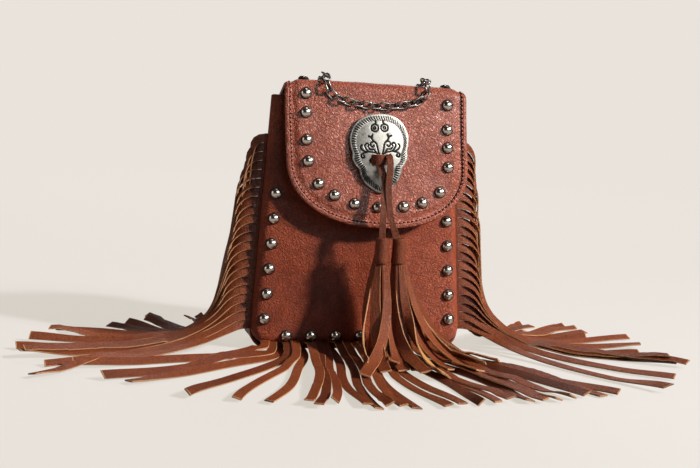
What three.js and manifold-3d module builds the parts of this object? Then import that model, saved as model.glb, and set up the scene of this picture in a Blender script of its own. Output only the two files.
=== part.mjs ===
// Fringed crossbody bag in leather: a tapered body under a studded flap, a domed concho with a
// tasselled lace, a fringe in the front seam on three sides, and a chain strap.
// Millimetres, +Z up. The front faces -Y and the origin lies under the middle of the base.

import * as THREE from "three";
import { mergeVertices } from "three/addons/utils/BufferGeometryUtils.js";
import Module from "manifold-3d";

const wasm = await Module();
wasm.setup();

// Driving dimensions

const GAP = 0.3;
const LEATHER = 2;

const BODY = {
  height: 171,
  backHeight: 157,
  baseWidth: 147,
  topWidth: 125,
  baseFront: -23,
  topFront: -15,
  baseBack: 23,
  topBack: 19,
  corner: 12,
  roll: 6,
  bulge: 3,
  frontRim: 4.5,
  gussetSag: 11,
  backNarrow: 8,
};

const FLAP = {
  halfWidth: 61.5,
  offset: 7,
  backEdge: 139.5,
  backRun: 20,
  backBend: 10,
  topRun: 30,
  topRise: 24,
  frontBend: 6,
  fallLength: 90,
  fallLean: 9,
  curveLength: 44,
  curvePower: 2.3,
  tipSquare: 0.985,
  clockwise: 1.4,
  curl: 3,
  edgeDroop: 3,
  tipSwing: 5,
};

const STUD = { radius: 4, height: 2.6 };

// Flap studs: millimetres across from the flap's middle and down from its crest
const FLAP_STUDS = [
  { across: -49, down: -3 },
  { across: -48.5, down: 8.5 },
  { across: -48.5, down: 21 },
  { across: -48.5, down: 39 },
  { across: -48, down: 53 },
  { across: -41.5, down: 67.5 },
  { across: -31, down: 74.5 },
  { across: -17.5, down: 79.5 },
  { across: -1.5, down: 81 },
  { across: 16, down: 80 },
  { across: 29, down: 77 },
  { across: 41.5, down: 69.5 },
  { across: 48, down: 52.5 },
  { across: 48, down: 39.5 },
  { across: 48, down: 27.5 },
  { across: 48.5, down: 11 },
  { across: 49, down: -3 },
];

const PANEL_STUDS = {
  inset: 8,
  sideFrom: 22,
  sidePitch: 16.9,
  sideCount: 6,
  baseHeight: 10.5,
  basePitch: 17,
  baseCount: 7,
  baseShift: 2,
};

const STRIP = { width: 6, thickness: 1, length: 162, pitch: 7.3 };
const HEADING = { reach: 5, depth: 4, thickness: 1.4, overlap: 2, drop: 1 };
const SIDE_FALL = {
  lowest: 14,
  earlyShare: 0.25,
  twistOver: 13,
  earlyTurn: 0.5,
  earlyOver: 45,
  landing: 40,
};
const BASE_FALL = { bend: 4.5, rootHeight: 6.6, layers: 5, turnOver: 45 };
const FLOOR_LAYER = { first: 0.75, step: 0.06 };

// Fringe locks: strips in the lock, and the bearing of its first and last strip. A side's locks run
// from the top down, with bearings towards the back, and the base's run from left to right.
const LEFT_CURTAIN = {
  shoulder: 14,
  flare: 60,
  steepest: 77,
  locks: [
    { strips: 5, from: 84, to: 64 },
    { strips: 7, from: 54, to: 6 },
    { strips: 6, from: 0, to: -38 },
  ],
};
const RIGHT_CURTAIN = {
  shoulder: 14,
  flare: 50,
  steepest: 77,
  locks: [
    { strips: 5, from: 80, to: 48 },
    { strips: 8, from: 36, to: -12 },
    { strips: 3, from: -26, to: -34 },
    { strips: 2, from: -48, to: -56 },
  ],
};
const BASE_LOCKS = [
  { strips: 4, from: -47, to: -16 },
  { strips: 3, from: -9, to: -7 },
  { strips: 5, from: -4, to: -1 },
  { strips: 3, from: 2, to: 8 },
  { strips: 3, from: 15, to: 33 },
];

const CONCHO = {
  top: 19.5,
  centre: 24,
  rim: 1.6,
  rope: 0.5,
  crown: 4.2,
  slotDown: 31,
  slotLength: 17,
  slotWidth: 8,
};
// Half of the concho's width at each distance down from its top
const CONCHO_OUTLINE = [
  { down: 0, half: 2.5 },
  { down: 1, half: 8 },
  { down: 4, half: 14.2 },
  { down: 9, half: 18 },
  { down: 15, half: 20 },
  { down: 21.5, half: 19.6 },
  { down: 25.5, half: 18.4 },
  { down: 29, half: 19 },
  { down: 32.5, half: 17.6 },
  { down: 36.5, half: 14.4 },
  { down: 41, half: 13.6 },
  { down: 46, half: 10.8 },
  { down: 50, half: 6 },
  { down: 52.5, half: 1.5 },
];

const LACE = {
  width: 3.6,
  thickness: 1.8,
  bightRadius: 2.5,
  bightHalf: 5.4,
  bightLift: 6.5,
  bightRoot: 0.8,
  sag: 18,
};

// Upper ends of the lace's strands: across the flap, down from the concho's slot, and off the flap
const LEFT_STRAND = [
  { across: 2, down: 1.5, lift: 4 },
  { across: 3, down: 6, lift: 8.5 },
  { across: 3.4, down: 14, lift: 8.5 },
];
const RIGHT_STRAND = [
  { across: 5.5, down: 0.5, lift: 6 },
  { across: 7.6, down: 2.5, lift: 10.5 },
  { across: 7, down: 12, lift: 10.4 },
];

const TASSEL = {
  headRadius: 4.2,
  headHeight: 10,
  headTop: 81,
  headFront: -47,
  collar: 0.5,
  collarHeight: 3,
  rootInset: 2,
  rootDepth: 1.6,
  stripLength: 84,
  steepest: 80,
  steepStep: 2,
  flare: 20,
  floor: 3.4,
  layer: 0.4,
};
const TASSELS = [
  { side: "left", across: 8.5, strips: 5, from: -70, to: 5 },
  { side: "right", across: 20, strips: 5, from: 5, to: 78 },
];

const CHAIN = { radius: 2.4, sides: 6, steps: 96, bendClearance: 1.7, left: -35, right: 34, offBack: 2 };
const CHAIN_DRAPE = [
  { across: -35, down: 2 },
  { across: -32, down: 8 },
  { across: -25, down: 11.5 },
  { across: -14, down: 13.8 },
  { across: -1, down: 14.7 },
  { across: 12, down: 13.8 },
  { across: 23, down: 11.5 },
  { across: 31, down: 8 },
  { across: 34, down: 2 },
];

// Hanging ends of the chain: share of the way from the flap's edge to the anchor, distance behind
// the bag, and rise above the floor
const CHAIN_LOOP = [
  { share: 0, behind: 0, rise: 117 },
  { share: 0, behind: 0, rise: 57 },
  { share: 0, behind: 0, rise: 17 },
  { share: 0, behind: 4, rise: 5 },
  { share: 0, behind: 14, rise: 0.4 },
  { share: 0, behind: 46, rise: 0 },
  { share: 0.2, behind: 58, rise: 0 },
  { share: 0.5, behind: 64, rise: 0 },
  { share: 0.8, behind: 58, rise: 0 },
  { share: 1, behind: 46, rise: 0 },
  { share: 1, behind: 14, rise: 0.4 },
  { share: 1, behind: 4, rise: 5 },
  { share: 1, behind: 0, rise: 17 },
  { share: 1, behind: 0, rise: 67 },
];

const ANCHOR = {
  across: 50,
  height: 126,
  plateWidth: 14,
  plateHeight: 9,
  plateThickness: 1.6,
  ring: 6,
  wire: 1.4,
};

// Materials

const leather = new THREE.MeshStandardMaterial({ color: 0x8a4a36, roughness: 0.5, metalness: 0 });
const suede = new THREE.MeshStandardMaterial({ color: 0x9a5a38, roughness: 0.65, metalness: 0 });
const antiqueSilver = new THREE.MeshStandardMaterial({ color: 0xb8b2a6, roughness: 0.3, metalness: 1 });
const gunmetal = new THREE.MeshStandardMaterial({ color: 0x5a5450, roughness: 0.35, metalness: 1 });

// Small helpers

const { lerp, clamp, smoothstep, degToRad } = THREE.MathUtils;
const vector = (x, y, z) => new THREE.Vector3(x, y, z);

function piece(name, geometry, material) {
  const mesh = new THREE.Mesh(geometry, material);
  mesh.name = name;
  return mesh;
}

// Closed wall from a grid of outer points with their normals
function wall(grid, thickness) {
  const rows = grid.length;
  const columns = grid[0].length;
  const outer = grid.flat().map(({ point }) => point);
  const inner = grid.flat().map(({ point, normal }) => point.clone().addScaledVector(normal, -thickness));
  const index = [];
  const quad = (a, b, c, d) => index.push(a, b, c, a, c, d);
  const under = outer.length;
  for (let row = 0; row + 1 < rows; row += 1) {
    for (let column = 0; column + 1 < columns; column += 1) {
      const a = row * columns + column;
      const b = a + 1;
      const c = b + columns;
      const d = a + columns;
      quad(a, b, c, d);
      quad(under + d, under + c, under + b, under + a);
    }
  }
  const rim = [];
  for (let column = 0; column < columns; column += 1) rim.push(column);
  for (let row = 1; row < rows; row += 1) rim.push(row * columns + columns - 1);
  for (let column = columns - 2; column >= 0; column -= 1) rim.push((rows - 1) * columns + column);
  for (let row = rows - 2; row > 0; row -= 1) rim.push(row * columns);
  rim.forEach((a, order) => {
    const b = rim[(order + 1) % rim.length];
    quad(b, a, under + a, under + b);
  });
  return outward(new THREE.BufferGeometry().setFromPoints([...outer, ...inner]).setIndex(index));
}

// Closed bar through sections of equal corner count, capped at both ends. Opposite sides are cut
// along diagonals that run the same way, so that a twisted bar keeps its thickness.
function bar(sections) {
  const sides = sections[0].length;
  const index = [];
  for (let section = 0; section + 1 < sections.length; section += 1) {
    for (let side = 0; side < sides; side += 1) {
      const a = section * sides + side;
      const b = section * sides + ((side + 1) % sides);
      if (2 * side < sides) index.push(a, b, b + sides, a, b + sides, a + sides);
      else index.push(a, b, a + sides, b, b + sides, a + sides);
    }
  }
  const last = (sections.length - 1) * sides;
  for (let side = 1; side + 1 < sides; side += 1) {
    index.push(0, side + 1, side);
    index.push(last, last + side, last + side + 1);
  }
  return outward(new THREE.BufferGeometry().setFromPoints(sections.flat()).setIndex(index));
}

// Turns a closed mesh's faces outward
function outward(geometry) {
  const place = geometry.getAttribute("position");
  const index = geometry.getIndex().array;
  const [a, b, c] = [vector(), vector(), vector()];
  let volume = 0;
  for (let corner = 0; corner < index.length; corner += 3) {
    a.fromBufferAttribute(place, index[corner]);
    b.fromBufferAttribute(place, index[corner + 1]);
    c.fromBufferAttribute(place, index[corner + 2]);
    volume += a.dot(b.cross(c));
  }
  if (volume < 0) index.reverse();
  return geometry;
}

function solid(geometry) {
  const bare = geometry.clone();
  bare.deleteAttribute("normal");
  bare.deleteAttribute("uv");
  const merged = mergeVertices(bare, 1e-4);
  const vertProperties = new Float32Array(merged.getAttribute("position").array);
  const triVerts = new Uint32Array(merged.getIndex().array);
  return new wasm.Manifold(new wasm.Mesh({ numProp: 3, vertProperties, triVerts }));
}

function geometryOf(manifold) {
  const { vertProperties, triVerts } = manifold.getMesh();
  const geometry = new THREE.BufferGeometry();
  geometry.setAttribute("position", new THREE.BufferAttribute(new Float32Array(vertProperties), 3));
  geometry.setIndex(new THREE.BufferAttribute(new Uint32Array(triVerts), 1));
  return geometry;
}

// One body from several: its largest shell, so pockets shut in between crossing strips are filled
function joined(geometries) {
  const shells = geometries.map(solid).reduce((sum, next) => sum.add(next)).decompose();
  return geometryOf(shells.reduce((best, next) => (next.volume() > best.volume() ? next : best)));
}

// Body outline and walls

const taper = (z) => lerp(BODY.baseWidth, BODY.topWidth, z / BODY.height) / 2;
const backFace = (z) => lerp(BODY.baseBack, BODY.topBack, z / BODY.height);
const seam = (z) => lerp(BODY.baseFront, BODY.topFront, z / BODY.height) + BODY.roll;

function halfWidth(z, bottom) {
  const below = Math.max(0, BODY.corner - (z - bottom));
  return taper(z) - BODY.corner + Math.sqrt(BODY.corner ** 2 - below ** 2);
}

// Distance in from the front panel's edge, and the way out across it
function panelEdge(x, z) {
  const side = Math.sign(x) || 1;
  const acrossCorner = Math.abs(x) - (taper(z) - BODY.corner);
  const downCorner = BODY.frontRim + BODY.corner - z;
  if (acrossCorner > 0 && downCorner > 0) {
    const reach = Math.hypot(acrossCorner, downCorner);
    return { inset: BODY.corner - reach, outX: (side * acrossCorner) / reach, outZ: -downCorner / reach };
  }
  const fromSide = taper(z) - Math.abs(x);
  const fromBottom = z - BODY.frontRim;
  if (fromBottom < fromSide) return { inset: fromBottom, outX: 0, outZ: -1 };
  return { inset: fromSide, outX: side, outZ: 0 };
}

function panelSurface(x, z) {
  const { inset, outX, outZ } = panelEdge(x, z);
  const turn = Math.acos(clamp(1 - inset / BODY.roll, 0, 1));
  const swell = BODY.bulge * (1 - (x / taper(z)) ** 2) * Math.sin((Math.PI * z) / BODY.height);
  const y = seam(z) - BODY.roll * Math.sin(turn) - swell;
  const normal = vector(outX * Math.cos(turn), -Math.sin(turn), outZ * Math.cos(turn));
  return { point: vector(x, y, z), normal };
}

// Seat of a stud on the front panel, square to the face there
function panelSeat(x, z) {
  const step = 0.5;
  const sideways = panelSurface(x + step, z).point.sub(panelSurface(x - step, z).point);
  const upward = panelSurface(x, z + step).point.sub(panelSurface(x, z - step).point);
  return { point: panelSurface(x, z).point, normal: sideways.cross(upward).normalize() };
}

const ROLL_STEPS = [0, 30, 60, 90].map((degrees) => BODY.roll * (1 - Math.cos(degToRad(degrees))));

function frontPanel() {
  const middle = [-0.6, 0, 0.6];
  const upper = [12, 30, 55, 80, 105, 130, 150, BODY.height - BODY.frontRim];
  const heights = [...ROLL_STEPS, ...upper].map((rise) => BODY.frontRim + rise);
  const grid = heights.map((z) => {
    const half = halfWidth(z, BODY.frontRim);
    const left = ROLL_STEPS.map((inset) => inset - half);
    const right = ROLL_STEPS.map((inset) => half - inset).reverse();
    const between = middle.map((share) => share * (half - BODY.roll));
    return [...left, ...between, ...right].map((x) => panelSurface(x, z));
  });
  return wall(grid, LEATHER);
}

// Outline of the sides and base from the left top round to the right top, with outward normals
function bodyOutline() {
  const heights = [BODY.height, 130, 90, 50, BODY.corner];
  const turns = [22.5, 45, 67.5].map(degToRad);
  const right = [];
  for (const z of heights) right.push({ x: taper(z), z, outX: 1, outZ: 0 });
  for (const turn of turns) {
    const x = taper(BODY.corner) - BODY.corner * (1 - Math.cos(turn));
    right.push({ x, z: BODY.corner * (1 - Math.sin(turn)), outX: Math.cos(turn), outZ: -Math.sin(turn) });
  }
  for (const share of [1, 0.3]) {
    right.push({ x: share * (taper(BODY.corner) - BODY.corner), z: 0, outX: 0, outZ: -1 });
  }
  const left = right.map((spot) => ({ ...spot, x: -spot.x, outX: -spot.outX }));
  return [...left, ...right.reverse()];
}

// How far each side of the back is drawn in towards its top
const drawnIn = (z) => BODY.backNarrow * smoothstep(z, 80, BODY.backHeight);

function gusset() {
  const depths = [0, 0.25, 0.5, 0.75, 1];
  const grid = bodyOutline().map(({ x, z, outX, outZ }) => {
    const front = seam(z) + HEADING.thickness + 2 * GAP;
    const back = backFace(z) - LEATHER - GAP;
    return depths.map((share) => {
      const sag = BODY.gussetSag * Math.sin(Math.PI * share) * Math.abs(outX) * smoothstep(z, 10, BODY.height);
      const height = Math.min(z, lerp(BODY.height, BODY.backHeight, share));
      const inward = (sag + share * drawnIn(z)) * outX;
      const point = vector(x - inward, lerp(front, back, share), height);
      return { point, normal: vector(outX, 0, outZ) };
    });
  });
  return wall(grid, LEATHER);
}

function backPanel() {
  const corner = [0, 30, 60, 90].map((degrees) => BODY.corner * (1 - Math.cos(degToRad(degrees))));
  const grid = [...corner, 60, 115, BODY.backHeight].map((z) => {
    const half = halfWidth(z, 0) - drawnIn(z);
    return [-1, -0.5, 0, 0.5, 1].map((share) => ({
      point: vector(share * half, backFace(z), z),
      normal: vector(0, 1, 0),
    }));
  });
  return wall(grid, LEATHER);
}

// Flap: a profile of straight runs and bends, swept across its width

const bodyLean = Math.atan2(BODY.baseBack - BODY.topBack, BODY.height);
const quarter = Math.PI / 2;
const topHeading = quarter - degToRad(FLAP.topRise);
const fallHeading = Math.PI - degToRad(FLAP.fallLean);
const FLAP_PROFILE = [
  { length: FLAP.backRun, turn: 0 },
  { length: FLAP.backBend * (topHeading - bodyLean), turn: topHeading - bodyLean },
  { length: FLAP.topRun, turn: 0 },
  { length: FLAP.frontBend * (fallHeading - topHeading), turn: fallHeading - topHeading },
  { length: FLAP.fallLength, turn: 0 },
];
const runLength = (rows) => rows.reduce((sum, { length }) => sum + length, 0);
const flapLength = runLength(FLAP_PROFILE);
const topEndRun = runLength(FLAP_PROFILE.slice(0, 3));
const crestRun = topEndRun + FLAP.frontBend * (quarter - topHeading);
const curveRun = flapLength - FLAP.curveLength;

function flapProfile(run) {
  let y = backFace(FLAP.backEdge) + GAP + LEATHER;
  let z = FLAP.backEdge;
  let heading = bodyLean;
  let left = run;
  for (const { length, turn } of FLAP_PROFILE) {
    const walked = Math.min(left, length);
    const swing = (turn * walked) / length;
    const chord = swing === 0 ? walked : (2 * walked * Math.sin(swing / 2)) / swing;
    y -= chord * Math.sin(heading + swing / 2);
    z += chord * Math.cos(heading + swing / 2);
    heading += swing;
    left -= walked;
  }
  return { y, z };
}

const crestHeight = flapProfile(crestRun).z;

function flapPoint(across, run) {
  const { y, z } = flapProfile(run);
  const fall = smoothstep(run, crestRun, flapLength);
  const x = across + FLAP.tipSwing * fall;
  const turn = degToRad(FLAP.clockwise);
  const droop = FLAP.edgeDroop * (across / FLAP.halfWidth) ** 12 * (1 - fall);
  const rise = z - crestHeight - droop;
  return vector(
    FLAP.offset + x * Math.cos(turn) + rise * Math.sin(turn),
    y + FLAP.curl * fall * (across / FLAP.halfWidth) ** 2,
    crestHeight + rise * Math.cos(turn) - x * Math.sin(turn),
  );
}

function flapSurface(across, run) {
  const step = 0.05;
  const sideways = flapPoint(across + step, run).sub(flapPoint(across - step, run));
  const onward = flapPoint(across, run + step).sub(flapPoint(across, run - step));
  return { point: flapPoint(across, run), normal: onward.cross(sideways).normalize() };
}

// Run along the flap at a distance down from its crest, or back from it when negative
function runAtDrop(down) {
  if (down <= 0) return crestRun + down;
  let low = crestRun;
  let high = flapLength;
  for (let halving = 0; halving < 40; halving += 1) {
    const middle = (low + high) / 2;
    if (crestHeight - flapProfile(middle).z < down) low = middle;
    else high = middle;
  }
  return low;
}

// Point off the flap's outer face
function offFlap(across, down, lift) {
  const { point, normal } = flapSurface(across, runAtDrop(down));
  return point.addScaledVector(normal, lift);
}

function flap() {
  const runs = [0];
  let start = 0;
  for (const { length, turn } of FLAP_PROFILE.slice(0, 4)) {
    const steps = turn === 0 ? 1 : 4;
    for (let step = 1; step <= steps; step += 1) runs.push(start + (length * step) / steps);
    start += length;
  }
  runs.push((start + curveRun) / 2);
  const lastTurn = Math.asin(FLAP.tipSquare);
  for (let step = 0; step <= 6; step += 1) {
    runs.push(curveRun + FLAP.curveLength * Math.sin((lastTurn * step) / 6));
  }
  const grid = runs.map((run) => {
    const along = clamp((run - curveRun) / FLAP.curveLength, 0, 1);
    const half = FLAP.halfWidth * (1 - along ** FLAP.curvePower) ** (1 / FLAP.curvePower);
    return [-1, -0.86, -0.5, 0, 0.5, 0.86, 1].map((share) => flapSurface(share * half, run));
  });
  return wall(grid, LEATHER);
}

// Studs

function studGeometry() {
  const { radius, height } = STUD;
  const profile = [
    [0, 0],
    [radius, 0],
    [0.76 * radius, 0.7 * height],
    [0, height],
  ];
  return new THREE.LatheGeometry(profile.map(([x, y]) => new THREE.Vector2(x, y)), 10);
}

function studOn({ point, normal }, name) {
  const stud = piece(name, studGeometry(), antiqueSilver);
  stud.position.copy(point).addScaledVector(normal, GAP / 2);
  stud.quaternion.setFromUnitVectors(vector(0, 1, 0), normal);
  return stud;
}

const numbered = (name, order) => `${name}_${String(order + 1).padStart(2, "0")}`;

function panelStudSpots() {
  const { inset, sideFrom, sidePitch, sideCount } = PANEL_STUDS;
  const { baseHeight, basePitch, baseCount, baseShift } = PANEL_STUDS;
  const spots = [];
  for (const side of [-1, 1]) {
    for (let order = 0; order < sideCount; order += 1) {
      const z = sideFrom + order * sidePitch;
      spots.push({ x: side * (taper(z) - inset), z });
    }
  }
  for (let order = 0; order < baseCount; order += 1) {
    spots.push({ x: baseShift + (order - (baseCount - 1) / 2) * basePitch, z: baseHeight });
  }
  return spots;
}

// Strips: each walks from its root, and its pitch follows rows of straight runs and bends

function walkStrip({ root, bearingAt, twistAt, pitchFrom, rows, length, width, thickness }) {
  const spot = root.clone();
  let walked = 0;
  let pitch = pitchFrom;
  const sections = [];
  const addSection = () => {
    const bearing = bearingAt(walked);
    const twist = twistAt(walked);
    const flat = vector(-Math.sin(bearing), Math.cos(bearing), 0);
    const up = vector(
      Math.sin(pitch) * Math.cos(bearing),
      Math.sin(pitch) * Math.sin(bearing),
      Math.cos(pitch),
    );
    const sideways = flat.clone().multiplyScalar(Math.cos(twist)).addScaledVector(up, Math.sin(twist));
    const face = up.multiplyScalar(Math.cos(twist)).addScaledVector(flat, -Math.sin(twist));
    sideways.multiplyScalar(width / 2);
    face.multiplyScalar(thickness / 2);
    const corner = (across, through) =>
      spot.clone().addScaledVector(sideways, across).addScaledVector(face, through);
    sections.push([corner(-1, -1), corner(1, -1), corner(1, 1), corner(-1, 1)]);
  };
  addSection();
  for (const row of rows) {
    const run = Math.min(row.length, length - walked);
    if (run < 1e-6) continue;
    const turn = (row.turn * run) / row.length;
    const steps = Math.max(1, Math.ceil(Math.abs(turn) / degToRad(39)), Math.ceil(run / 100));
    for (let step = 0; step < steps; step += 1) {
      const stride = run / steps;
      const bend = turn / steps;
      const bearing = bearingAt(walked + stride / 2);
      const chord = bend === 0 ? stride : (2 * stride * Math.sin(bend / 2)) / bend;
      const level = chord * Math.cos(pitch + bend / 2);
      spot.x += level * Math.cos(bearing);
      spot.y += level * Math.sin(bearing);
      spot.z -= chord * Math.sin(pitch + bend / 2);
      pitch += bend;
      walked += stride;
      addSection();
    }
  }
  return bar(sections);
}

// A strip that turns evenly from one bearing to another
const turning = (from, to, over) => (walked) => lerp(from, to, smoothstep(walked, 0, over));

// Rows that carry a strip over a shoulder, down and out along the floor, with the place on the
// strip where the flare starts
function sideFall(height, { shoulder, flare, steepest }) {
  const { earlyShare } = SIDE_FALL;
  const bends = shoulder + flare;
  const steep = Math.min(degToRad(steepest), Math.acos(Math.max(0, 1 - height / bends)));
  const straight = Math.max(0, (height - bends * (1 - Math.cos(steep))) / Math.sin(steep));
  const rows = [
    { length: HEADING.overlap, turn: 0 },
    { length: earlyShare * shoulder * steep, turn: earlyShare * steep },
    { length: (1 - earlyShare) * shoulder * steep, turn: (1 - earlyShare) * steep },
    { length: straight, turn: 0 },
    { length: flare * steep, turn: -steep },
    { length: STRIP.length, turn: 0 },
  ];
  return { rows, flareFrom: HEADING.overlap + shoulder * steep + straight };
}

// Share of a side strip's swing that it has turned: part at the shoulder, the rest as it lands
function sideTurn(walked, flareFrom) {
  const { earlyTurn, earlyOver, landing } = SIDE_FALL;
  const early = earlyTurn * smoothstep(walked, 0, earlyOver);
  return early + (1 - earlyTurn) * smoothstep(walked, flareFrom - landing, flareFrom + landing);
}

// Bearing in degrees of each strip of a list of locks
function lockBearings(locks) {
  return locks.flatMap(({ strips, from, to }) =>
    Array.from({ length: strips }, (_, order) => lerp(from, to, strips === 1 ? 0 : order / (strips - 1))),
  );
}

const floorAt = (layer) => FLOOR_LAYER.first + FLOOR_LAYER.step * layer;

function sideFringe(side, curtain) {
  const bearings = lockBearings(curtain.locks);
  const { lowest, twistOver } = SIDE_FALL;
  const highest = lowest + bearings.length * STRIP.pitch;
  const headingGrid = [lowest, (lowest + highest) / 2, highest].map((z) =>
    [taper(z) - HEADING.depth, taper(z) + HEADING.reach].map((reach) => ({
      point: vector(side * reach, seam(z) + GAP, z),
      normal: vector(0, -1, 0),
    })),
  );
  const strips = bearings.map((bearing, order) => {
    const z = highest - (order + 0.5) * STRIP.pitch;
    const outwardBearing = side > 0 ? 0 : Math.PI;
    const rootReach = taper(z) + HEADING.reach - HEADING.overlap;
    const { rows, flareFrom } = sideFall(z - floorAt(bearings.length - order), curtain);
    return walkStrip({
      root: vector(side * rootReach, seam(z) + GAP + HEADING.thickness / 2, z),
      bearingAt: (walked) => outwardBearing + side * degToRad(bearing) * sideTurn(walked, flareFrom),
      twistAt: (walked) => side * quarter * (1 - smoothstep(walked, 0, twistOver)),
      pitchFrom: 0,
      rows,
      length: STRIP.length - HEADING.reach + HEADING.overlap,
      width: STRIP.width,
      thickness: STRIP.thickness,
    });
  });
  return joined([wall(headingGrid, HEADING.thickness), ...strips]);
}

function baseFringe() {
  const bearings = lockBearings(BASE_LOCKS);
  const half = (bearings.length * STRIP.pitch) / 2;
  const front = seam(BODY.frontRim);
  const { rootHeight, bend } = BASE_FALL;
  const headingGrid = [rootHeight - HEADING.drop, rootHeight + HEADING.depth].map((z) =>
    [-half, half].map((x) => ({ point: vector(x, front + GAP, z), normal: vector(0, -1, 0) })),
  );
  const middle = front + GAP + HEADING.thickness / 2;
  const strips = bearings.map((bearing, order) =>
    walkStrip({
      root: vector((order + 0.5) * STRIP.pitch - half, middle, rootHeight),
      bearingAt: turning(-quarter, degToRad(bearing) - quarter, BASE_FALL.turnOver),
      twistAt: () => 0,
      pitchFrom: quarter,
      rows: [
        { length: rootHeight - floorAt(order % BASE_FALL.layers) - bend, turn: 0 },
        { length: bend * quarter, turn: -quarter },
        { length: STRIP.length, turn: 0 },
      ],
      length: STRIP.length,
      width: STRIP.width,
      thickness: STRIP.thickness,
    }),
  );
  return joined([wall(headingGrid, HEADING.thickness), ...strips]);
}

// Concho: a domed plate with a raised rim and an opening for the lace

function conchoGroup() {
  const { rim, rope, crown, centre } = CONCHO;
  const right = CONCHO_OUTLINE.map(({ down, half }) => ({ x: half, y: centre - down }));
  const left = CONCHO_OUTLINE.map(({ down, half }) => ({ x: -half, y: centre - down })).reverse();
  const outline = [...right, ...left];
  const rings = [
    { scale: 1, height: 0 },
    { scale: 1, height: rim },
    { scale: 0.95, height: rim + rope },
    { scale: 0.87, height: rim },
    { scale: 0.55, height: 0.8 * crown },
    { scale: 0.12, height: crown },
  ];
  const sections = rings.map(({ scale, height }) =>
    outline.map(({ x, y }) => vector(scale * x, scale * y, height)),
  );
  const slotShape = new THREE.Shape();
  const slotHalf = (CONCHO.slotLength - CONCHO.slotWidth) / 2;
  const slotY = centre - CONCHO.slotDown;
  slotShape.absarc(slotHalf, slotY, CONCHO.slotWidth / 2, -quarter, quarter);
  slotShape.absarc(-slotHalf, slotY, CONCHO.slotWidth / 2, quarter, 3 * quarter);
  const slotCut = { depth: 4 * crown, bevelEnabled: false, curveSegments: 4 };
  const slot = new THREE.ExtrudeGeometry(slotShape, slotCut);
  slot.translate(0, 0, -crown);
  const plate = geometryOf(solid(bar(sections)).subtract(solid(slot)));

  const run = runAtDrop(CONCHO.top + centre);
  const { point, normal } = flapSurface(0, run);
  const upward = flapPoint(0, run - 1).sub(flapPoint(0, run + 1)).normalize();
  const sideways = upward.clone().cross(normal);
  const group = new THREE.Group();
  group.position.copy(point).addScaledVector(normal, GAP);
  group.quaternion.setFromRotationMatrix(new THREE.Matrix4().makeBasis(sideways, upward, normal));
  group.add(piece("concho", plate, antiqueSilver));
  return group;
}

// Lace: a round bight across the concho's opening, and two flat strands down to the tassels

function strand(points) {
  const curve = new THREE.CatmullRomCurve3(points);
  const steps = 8;
  const front = vector(0, -1, 0);
  const sections = [];
  for (let step = 0; step <= steps; step += 1) {
    const spot = curve.getPoint(step / steps);
    const onward = curve.getTangent(step / steps);
    const sideways = onward.clone().cross(front).setLength(LACE.width / 2);
    const face = onward.cross(sideways).setLength(LACE.thickness / 2);
    sections.push([
      spot.clone().sub(sideways).sub(face),
      spot.clone().add(sideways).sub(face),
      spot.clone().add(sideways).add(face),
      spot.clone().sub(sideways).add(face),
    ]);
  }
  return bar(sections);
}

function roundTube(points, radius, sides, steps) {
  const section = new THREE.Shape();
  for (let side = 0; side < sides; side += 1) {
    const turn = (2 * Math.PI * (side + 0.5)) / sides;
    const [x, y] = [radius * Math.cos(turn), radius * Math.sin(turn)];
    if (side === 0) section.moveTo(x, y);
    else section.lineTo(x, y);
  }
  const extrudePath = new THREE.CatmullRomCurve3(points, false, "centripetal");
  return new THREE.ExtrudeGeometry(section, { steps, extrudePath, bevelEnabled: false });
}

function lace() {
  const { bightHalf, bightLift, bightRoot, bightRadius } = LACE;
  const down = CONCHO.top + CONCHO.slotDown;
  const bight = roundTube(
    [
      offFlap(-bightHalf, down, bightRoot),
      offFlap(-bightHalf, down, 0.6 * bightLift),
      offFlap(-0.6 * bightHalf, down, bightLift),
      offFlap(0.6 * bightHalf, down, bightLift),
      offFlap(bightHalf, down, 0.6 * bightLift),
      offFlap(bightHalf, down, bightRoot),
    ],
    bightRadius,
    8,
    8,
  );
  const strands = [LEFT_STRAND, RIGHT_STRAND].map((upper, order) => {
    const end = vector(TASSELS[order].across, TASSEL.headFront, TASSEL.headTop + GAP);
    const start = upper.map((spot) => offFlap(spot.across, down + spot.down, spot.lift));
    return strand([...start, end.clone().add(vector(-1, 1, LACE.sag)), end]);
  });
  return joined([bight, ...strands]);
}

// Tassels: a rolled head and strips that fall in front of the bag

function tassel({ across, strips, from, to }) {
  const { headRadius, headHeight, headTop, headFront, collar, collarHeight } = TASSEL;
  const { rootInset, rootDepth, stripLength, steepest, steepStep, flare, floor, layer } = TASSEL;
  const headBottom = headTop - headHeight;
  const profile = [
    [0, 0],
    [headRadius + collar, 0],
    [headRadius, collarHeight],
    [headRadius, headHeight],
    [0, headHeight],
  ];
  const head = new THREE.LatheGeometry(profile.map(([x, y]) => new THREE.Vector2(x, y)), 12);
  head.rotateX(quarter).translate(across, headFront, headBottom);
  const rootReach = headRadius - rootDepth;
  const leaves = Array.from({ length: strips }, (_, order) => {
    const bearing = degToRad(lerp(from, to, order / (strips - 1))) - quarter;
    const pitch = degToRad(steepest + steepStep * (order % 3));
    const root = vector(rootReach * Math.cos(bearing), rootReach * Math.sin(bearing), rootInset);
    root.add(vector(across, headFront, headBottom));
    const drop = root.z - floor - layer * (order % 3) - flare * (1 - Math.cos(pitch));
    return walkStrip({
      root,
      bearingAt: () => bearing,
      twistAt: () => 0,
      pitchFrom: pitch,
      rows: [
        { length: drop / Math.sin(pitch), turn: 0 },
        { length: flare * pitch, turn: -pitch },
        { length: stripLength, turn: 0 },
      ],
      length: stripLength,
      width: STRIP.width,
      thickness: STRIP.thickness,
    });
  });
  return joined([head, ...leaves]);
}

// Chain strap: from an anchor down the back, round the floor and over the flap, then the same again

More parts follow.
